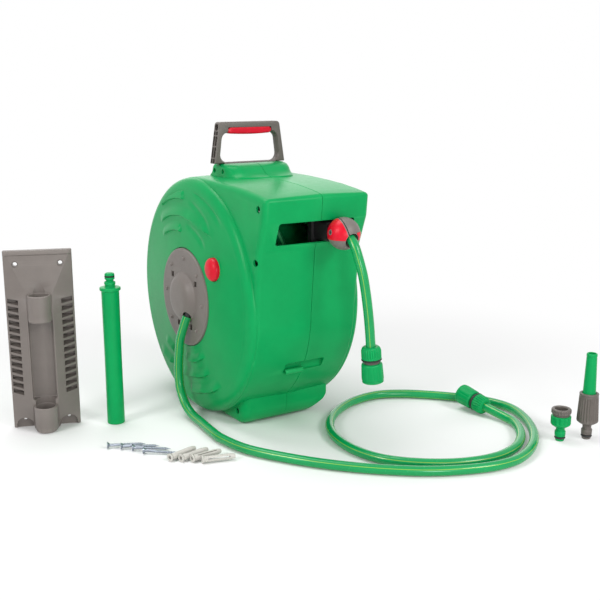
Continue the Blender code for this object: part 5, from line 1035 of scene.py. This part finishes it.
# --- wall bracket
# Rings of the plate: height, half width of its column, depth there, edge thickness
BRACKET_LEVELS = metres(
    (0, 20, 18.6, 6), (45, 20, 30, 6), (196, 20, 30, 6),
    (220, 19.5, 20, 6), (280, 46.2, 8.5, 6.2), (288, 47, 8.5, 6),
)
BRACKET_HALF_WIDTH = 0.052
PIVOT_REACH = 0.032
LOUVRES, LOUVRES_LOW, LOUVRES_HIGH = 14, 0.062, 0.2076


def bracket_plate():
    def ring(height, half, depth, edge, shrink=0.0):
        side = BRACKET_HALF_WIDTH
        corners = [(-side + shrink, 0.0, 0), (side - shrink, 0.0, 0), (side - shrink, edge, 0.0022),
                   (half - shrink, depth - shrink, 0.003),
                   (-half + shrink, depth - shrink, 0.003), (-side + shrink, edge, 0.0022)]
        return [Vector((p.x, -p.y, height)) for p in rounded(corners, 5)]

    levels = BRACKET_LEVELS
    rings = [ring(*levels[0], 0.0008), ring(0.0008, *levels[0][1:])]
    for low, high in zip(levels[:-2], levels[1:-1]):
        steps = max(1, round((high[0] - low[0]) / 0.008))
        for k in range(1, steps + 1):
            rings.append(ring(*[a + (b - a) * k / steps for a, b in zip(low, high)]))
    for height, shrink in ((0.2812, 0.0), (0.2868, 0.0), (0.2876, 0.0004)):
        rings.append(ring(height, 0.0466, 0.01, 0.0075, shrink))
    made = loft("bracket_form", rings + [ring(*levels[-1], 0.0012)])
    facets = made.modifiers.new("facets", "TRIANGULATE")
    facets.min_vertices = 4
    return baked(made)


def louvres():
    """All the slanted openings beside the column, as one cutter."""
    shape = bmesh.new()
    pitch = (LOUVRES_HIGH - LOUVRES_LOW) / (LOUVRES - 1)
    near, far, drop = -0.0018, -0.03, 0.0022
    for way in (-1, 1):
        outer, inner = way * 0.0492, way * 0.0325
        plan = ((outer, near, drop), (inner, near, drop), (inner, far, -drop), (outer, far, -drop))
        for row in range(LOUVRES):
            z = LOUVRES_LOW + pitch * row
            v = [shape.verts.new((x, y, z + edge + tilt))
                 for edge in (-0.0036, 0.004) for x, y, tilt in plan]
            for f in ((0, 1, 2, 3), (7, 6, 5, 4), (0, 4, 5, 1), (1, 5, 6, 2), (2, 6, 7, 3),
                      (3, 7, 4, 0)):
                shape.faces.new([v[i] for i in f])
    return from_bmesh("louvres", shape)


def wall_bracket():
    made = bracket_plate()
    column = rounded(rectangle(-0.0165, 0.0165, -0.006, 0.0145, 0, 0.002), 4)
    inner = [[Vector((p.x, -p.y, z)) for p in column] for z in (0.004, 0.225)]
    recess = rectangle(-0.0182, 0.0182, 0.052, 0.184, 0.003)
    sections = mm((16.2, 1.6), (17.2, 0), (28.6, -0.3), (34, -1))
    cut(made, loft("bracket_back", inner), prism("recess", recess, sections, ALONG_Y))
    radius, bore, middle = 0.018, PIVOT_BORE, (0, -PIVOT_REACH, 0)
    for low, high, base in ((0.18, 0.222, 0.018), (0.0004, 0.042, 0.016)):
        profile = [(0, low), (base - 0.0015, low), (base, low + 0.0015),
                   (radius - 0.0004, low + 0.01), (radius, high - 0.0012),
                   (radius - 0.0012, high), (0, high)]
        web = block("web", (-0.0176, -PIVOT_REACH + 0.0003, low + 0.0017),
                    (0.0176, -0.0043, high - 0.0017))
        join(made, turn("boss", profile, centre=middle, steps=72), web)
    profile = mm((0.8, -10), (0.8, 0.2), (0, 1), (0, 41), (1, 42.1), (1, 179.8), (0, 180.8),
                 (0, 221), (1, 222.1), (1, 300), r=bore)
    cut(made, turn("bore", [(0, -0.01), *profile, (0, 0.3)], centre=middle, steps=72), louvres())
    hole = mm((0, -20), (3.4, -20), (3.4, 8.5), (5, 9.8), (5.8, 30), (0, 30))
    for u in (-0.034, 0.034):
        arch = rectangle(u - 0.0125, u + 0.0125, -0.02, 0.016, 0, 0.0115)
        cut(made, turn("upper_hole", hole, ALONG_Y, (u, 0, 0.267), 40),
            prism("arch", arch, [(0.0045, 0.0), (0.0055, -0.0005), (0.04, -0.006)], ALONG_Y, 10),
            rod("lower_hole", (u, 0.01, 0.014), (u, -0.05, 0.014), 0.0027, 32))
    made.data.transform(Matrix.Translation(BRACKET_PLACE) @ Matrix.Rotation(BRACKET_YAW, 4, "Z"))
    finished(made, GREY, 28, "housing", "wall_bracket")


wall_bracket()


# --- loose parts
def o_ring(name, place, height, major, minor):
    profile = [(major + minor * cos(TAU * k / 12), minor * sin(TAU * k / 12))
               for k in range(12)]
    ring = turn(name, profile, centre=(place[0], place[1], height), steps=48, closed=True)
    return dressed(ring, BLACK, 60)


def pivot_tube():
    length, total, radius, neck = 0.221, 0.249, 0.014, 0.0078
    profile = [(0.0, total)]
    profile += mm((-2.6, 0), (-1.2, -0.6), (-0.3, -2), (0, -3), (0, -4.2), (-1.2, -4.6),
                  (-1.2, -6.8), (0, -7.2), (0, -9.8), (-2, -11.6), (-2, -12.8), (0.8, -14.5),
                  (1, -15.2), (1, -18), (0.3, -18.6), r=neck, z=total)
    profile += mm((0.3, 6.6), (1.2, 5.6), r=neck, z=length)
    profile += mm((1.7, 5), (2.5, 4.2), (2.5, 0.8), (1.9, 0), (0.6, -0.6), (0, -1.6),
                  r=radius, z=length)
    profile += [(radius - 0.0004 + 0.0004 * abs(2 * k / 12 - 1),
                 length - 0.003 - (length - 0.012) * k / 12) for k in range(13)]
    profile += mm((0, 1), (-0.8, 0), (-3, 0), r=radius)
    profile += [(radius - 0.003, length - 0.004), (0.0, length - 0.004)]
    made = dressed(turn("pivot_tube_form", profile, centre=PIVOT_TUBE_PLACE), GREEN, 32)
    absorb(made, o_ring("pivot_seal", PIVOT_TUBE_PLACE, total - 0.0057, neck - 0.0008, 0.0011))
    settled(made, "housing", "pivot_tube")


pivot_tube()

# Places on the ground of each screw's head and tip, and each plug's mouth and end
SCREWS = metres(
    (-295.7, -84, -242.3, -102.2), (-279.7, -98.5, -226.8, -121.6),
    (-267.4, -113.5, -215.7, -143.5), (-257.8, -132.5, -212.5, -167.2),
)
PLUGS = metres(
    (-237.5, -181.3, -188.2, -167), (-224.8, -191.7, -176.6, -182),
    (-211.8, -201.8, -164.3, -198.2), (-201.2, -213, -154.6, -226.2),
)


def laid_down(obj, finish, angle, cad_node):
    """Lower a piece onto the ground, then dress and settle it."""
    lift = CLEARANCE - min(vertex.co.z for vertex in obj.data.vertices)
    obj.data.transform(Matrix.Translation((0, 0, lift)))
    finished(obj, finish, angle, "housing", cad_node)


def wall_screw(index, *place):
    """A countersunk wood screw with a rolled thread."""
    length, shank, head_radius, plain = 0.058, 0.0024, 0.0052, 0.008
    thread_start, tip_start, pitch, rows = 0.018, length - 0.009, 0.0024, 150
    start = Vector((*place[:2], head_radius + CLEARANCE))
    way = (Vector((*place[2:], shank + CLEARANCE)) - start).normalized()
    profile = [(0.0, 0.0), *mm((-0.3, 0), (0, 0.3), (-0.2, 0.8), r=head_radius),
               *mm((0.6, 3), (-0.2, 4), (-0.3, 6), r=shank)]
    for k in range(rows + 1):
        z = plain + (length - 0.0085) * k / rows
        profile.append((shank - 0.0006 if z > thread_start else shank - 0.0003, z))
    profile.append((0.0, length))

    def threaded(radius, position, angle, row):
        if position <= plain:
            return radius, position
        taper = 1 - ramp(tip_start, length + 0.001, position) ** 0.8 * 0.92
        phase = (position / pitch - angle / TAU) % 1.0
        crest = max(0.0, 1 - abs(phase - 0.5) / 0.22)
        grow = 0.00065 * crest * ramp(thread_start - 0.002, thread_start + 0.003, position)
        return (radius + grow) * taper, position

    lay = laid_along(start, start + way)
    made = turn("screw_%d" % index, profile, lay, steps=20, shape_of=threaded)
    laid_down(made, ZINC, 40, "wall_screw_%d" % index)


def wall_plug(index, *place):
    """A nylon plug: collar, ribbed legs split by a slot, and a closed nose."""
    length, radius, collar, bore = 0.05, 0.0048, 0.006, 0.0027
    height = collar + CLEARANCE
    start = Vector((*place[:2], height))
    way = (Vector((*place[2:], height)) - start).normalized()
    profile = [(0.0, length - 0.012), (bore, length - 0.014), *mm((0, 0.4), (0.4, 0), r=bore),
               *mm((-0.3, 0), (0, 0.3), (0, 1.4), r=collar), (radius + 0.0002, 0.0022)]
    for k in range(14):
        profile += mm((-0.6, 0), (0.1, 1.8), (-0.6, 2.2), r=radius, z=0.0045 + 0.0026 * k)
    profile += mm((-0.4, -6), (-1.2, -1.5), (-1.9, 0), r=radius, z=length)
    lay = laid_along(start, start + way)
    made = turn("plug_%d" % index, profile + [(0.0, length)], lay, steps=28)
    slit = block("slit", (-0.01, -0.0009, 0.009), (0.01, 0.0009, length - 0.008))
    slit.data.transform(lay @ Matrix.Rotation(radians(40 * index), 4, "Z"))
    laid_down(cut(made, slit), NYLON, 35, "wall_plug_%d" % index)


for number, place in enumerate(SCREWS, 1):
    wall_screw(number, *place)
for number, place in enumerate(PLUGS, 1):
    wall_plug(number, *place)


# The tap adaptor and the nozzle end in the same nipple
NIPPLE = mm((6.7, 20), (6.7, 16.8), (7, 16.3), (8, 15.8), (8.3, 15.2), (8.3, 11.2), (8, 10.8),
            (8, 10.4), (8.3, 10), (8.3, 9), (8, 8), (7.2, 7.6), (7, 7), (5.3, 7), (5.3, 3.4),
            (7, 3.4), (6.9, 1.2), (6.2, 0), (3.5, 0))


def nipple_seal(name, place, cad_node):
    ring = o_ring(name, place, 0.0052, 0.0069, 0.0016)
    settled(ring, "housing", cad_node)


def tap_adaptor():
    body = mm((9.8, 40.5), (14.2, 40.5), (15, 40), *((15.3, 39.4 - 1.1 * k) for k in range(11)),
              (15, 27.2), (14, 25.8), (11.2, 23.8), (8.6, 22.2), (7.4, 21))
    body += NIPPLE + mm((3.5, 27), (9.8, 27))
    made = turn("adaptor_form", body, centre=ADAPTOR_PLACE, steps=144, closed=True,
                shape_of=ribs(12, 0.0014, 0.028, 0.0398, 1.5))
    finished(made, GREEN, 35, "housing", "tap_adaptor")
    top = mm((9.6, 30), (9.8, 50.6), (10.8, 51.9), (13.6, 52), (14.2, 51.7), (14.9, 50.8),
             *((15.2, 50 - 0.8 * k) for k in range(6)), (15, 45.2), (14.3, 44.4), (12.6, 44),
             (12.6, 40.8), (9.4, 40.8), (9.4, 30))
    knurled = ribs(20, 0.001, 0.045, 0.0506, 0.8)

    def ribbed(radius, position, angle, row):
        return (radius, position) if radius < 0.0105 else knurled(radius, position, angle, row)

    made = turn("reducer_form", top, centre=ADAPTOR_PLACE, steps=160, closed=True, shape_of=ribbed)
    finished(made, DARK_GREY, 35, "housing", "adaptor_reducer")
    nipple_seal("adaptor_o_ring", ADAPTOR_PLACE, "adaptor_seal")


def spray_nozzle():
    body = mm((10.4, 73.5), (11.2, 74.5), (13.4, 74.5), (14.3, 74.1), (14.7, 73.2), (14.6, 72.2),
              (14.2, 71.4), (14.3, 70.4),
              *((14.5 + 2 * k / 16, 69.4 - 39 * k / 16) for k in range(17)),
              (16.4, 29.6), (15.8, 28.4), (12, 25.6), (9, 24), (7.6, 22.6), (6.8, 21.2))
    body += NIPPLE + mm((3.5, 50), (10.4, 52))
    made = turn("nozzle_grip", body, centre=NOZZLE_PLACE, steps=192, closed=True,
                shape_of=ribs(24, 0.0012, 0.03, 0.0692, 0.7))
    finished(made, DARK_GREY, 35, "housing", "nozzle_body")
    tip = mm((2, 130.8), (5.2, 131.6), (5.7, 137.2), (6.6, 138), (7.6, 137.6), (8.1, 136.6),
             (8.3, 134), (7.8, 133), (7.9, 131.8),
             *((8 + 2 * k / 14, 130 - 59 * k / 14) for k in range(15)),
             (10, 56), (4.5, 56), (4.5, 120), (2, 130))
    made = turn("nozzle_cone", tip, centre=NOZZLE_PLACE, closed=True)
    finished(made, GREEN, 32, "nozzle_adjuster", "nozzle_tip")
    nipple_seal("nozzle_o_ring", NOZZLE_PLACE, "nozzle_seal")


tap_adaptor()
spray_nozzle()

# --- remaining nodes
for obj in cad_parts.values():
    for slot in obj.material_slots:
        kind = slot.material.name.split(".")[0] if slot.material else ""
        for key, finish in BY_SLOT.items():
            if kind.startswith(key):
                slot.material = finish


# --- studio
WHITE = (1, 1, 1, 1)
WORLD_LIGHT = 0.36
FLOOR_SHADE = (0.9, 0.9, 0.9, 1)


def seen_rays(tree):
    """1 for camera, glossy and transmission rays, 0 for the rays that light the object."""
    rays = node(tree, "LightPath")
    total = rays.outputs["Is Camera Ray"]
    for kind in ("Is Glossy Ray", "Is Transmission Ray"):
        both = node(tree, "Math", operation="MAXIMUM")
        tree.links.new(total, both.inputs[0])
        tree.links.new(rays.outputs[kind], both.inputs[1])
        total = both.outputs[0]
    return total


def mixed(tree, share, under, over, output):
    """Put one shader over another, by a share, on the tree's output."""
    blend = node(tree, "MixShader")
    for place, source in enumerate((share, under.outputs[0], over.outputs[0])):
        tree.links.new(source, blend.inputs[place])
    tree.links.new(blend.outputs[0], tree.nodes[output].inputs["Surface"])


def pale_floor():
    """A plain floor that keeps the shadow near the object and fades to white around it."""
    mesh = bpy.data.meshes.new("floor")
    mesh.from_pydata([(-12, -12, 0), (12, -12, 0), (12, 12, 0), (-12, 12, 0)], [], [(0, 1, 2, 3)])
    floor = shown("floor", mesh)
    floor.location.z = -0.0002
    paint = bpy.data.materials.new("floor_paint")
    paint.use_nodes = True
    tree = paint.node_tree
    base = tree.nodes["Principled BSDF"]
    base.inputs["Base Color"].default_value = FLOOR_SHADE
    base.inputs["Roughness"].default_value = 0.9
    base.inputs["Specular IOR Level"].default_value = 0.1
    white = node(tree, "Emission", {"Color": WHITE, "Strength": 1.0})
    away = node(tree, "VectorMath", operation="LENGTH")
    tree.links.new(node(tree, "TexCoord").outputs["Object"], away.inputs[0])
    fade = node(tree, "MapRange", {"From Min": 0.3, "From Max": 0.95},
                interpolation_type="SMOOTHSTEP")
    tree.links.new(away.outputs["Value"], fade.inputs["Value"])
    share = node(tree, "Math", operation="MULTIPLY")
    tree.links.new(fade.outputs["Result"], share.inputs[0])
    tree.links.new(seen_rays(tree), share.inputs[1])
    mixed(tree, share.outputs[0], base, white, "Material Output")
    mesh.materials.append(paint)
    return floor


floor = pale_floor()

world = bpy.data.worlds.new("studio")
scene.world = world
world.use_nodes = True
soft = world.node_tree.nodes["Background"]
soft.inputs["Color"].default_value = WHITE
soft.inputs["Strength"].default_value = WORLD_LIGHT
plain = node(world.node_tree, "Background", {"Color": WHITE, "Strength": 1.0})
mixed(world.node_tree, seen_rays(world.node_tree), soft, plain, "World Output")

# Lamps: name, place, aim, size in metres and power in watts
LAMPS = (
    ("key", (0.55, -1.75, 1.35), (0, -0.1, 0.22), 0.7, 17),
    ("front", (-0.55, -2.1, 0.42), (0, -0.1, 0.25), 0.6, 11),
    ("back", (1.4, 2.3, 1.15), (0, 0, 0.35), 3.0, 16),
    ("top", (-0.3, 0.5, 2.0), (0, 0, 0.3), 1.2, 19),
    ("side", (-1.9, -0.4, 1.2), (0, 0, 0.2), 0.7, 16),
)
for name, place, aim, size, power in LAMPS:
    data = bpy.data.lights.new(name, "AREA")
    data.shape = "DISK"
    data.size = size
    data.energy = power
    lamp = shown(name, data)
    lamp.location = place
    lamp.rotation_euler = (Vector(aim) - Vector(place)).to_track_quat("-Z", "Y").to_euler()
    lamp.visible_camera = False

scene.view_settings.view_transform = "Standard"
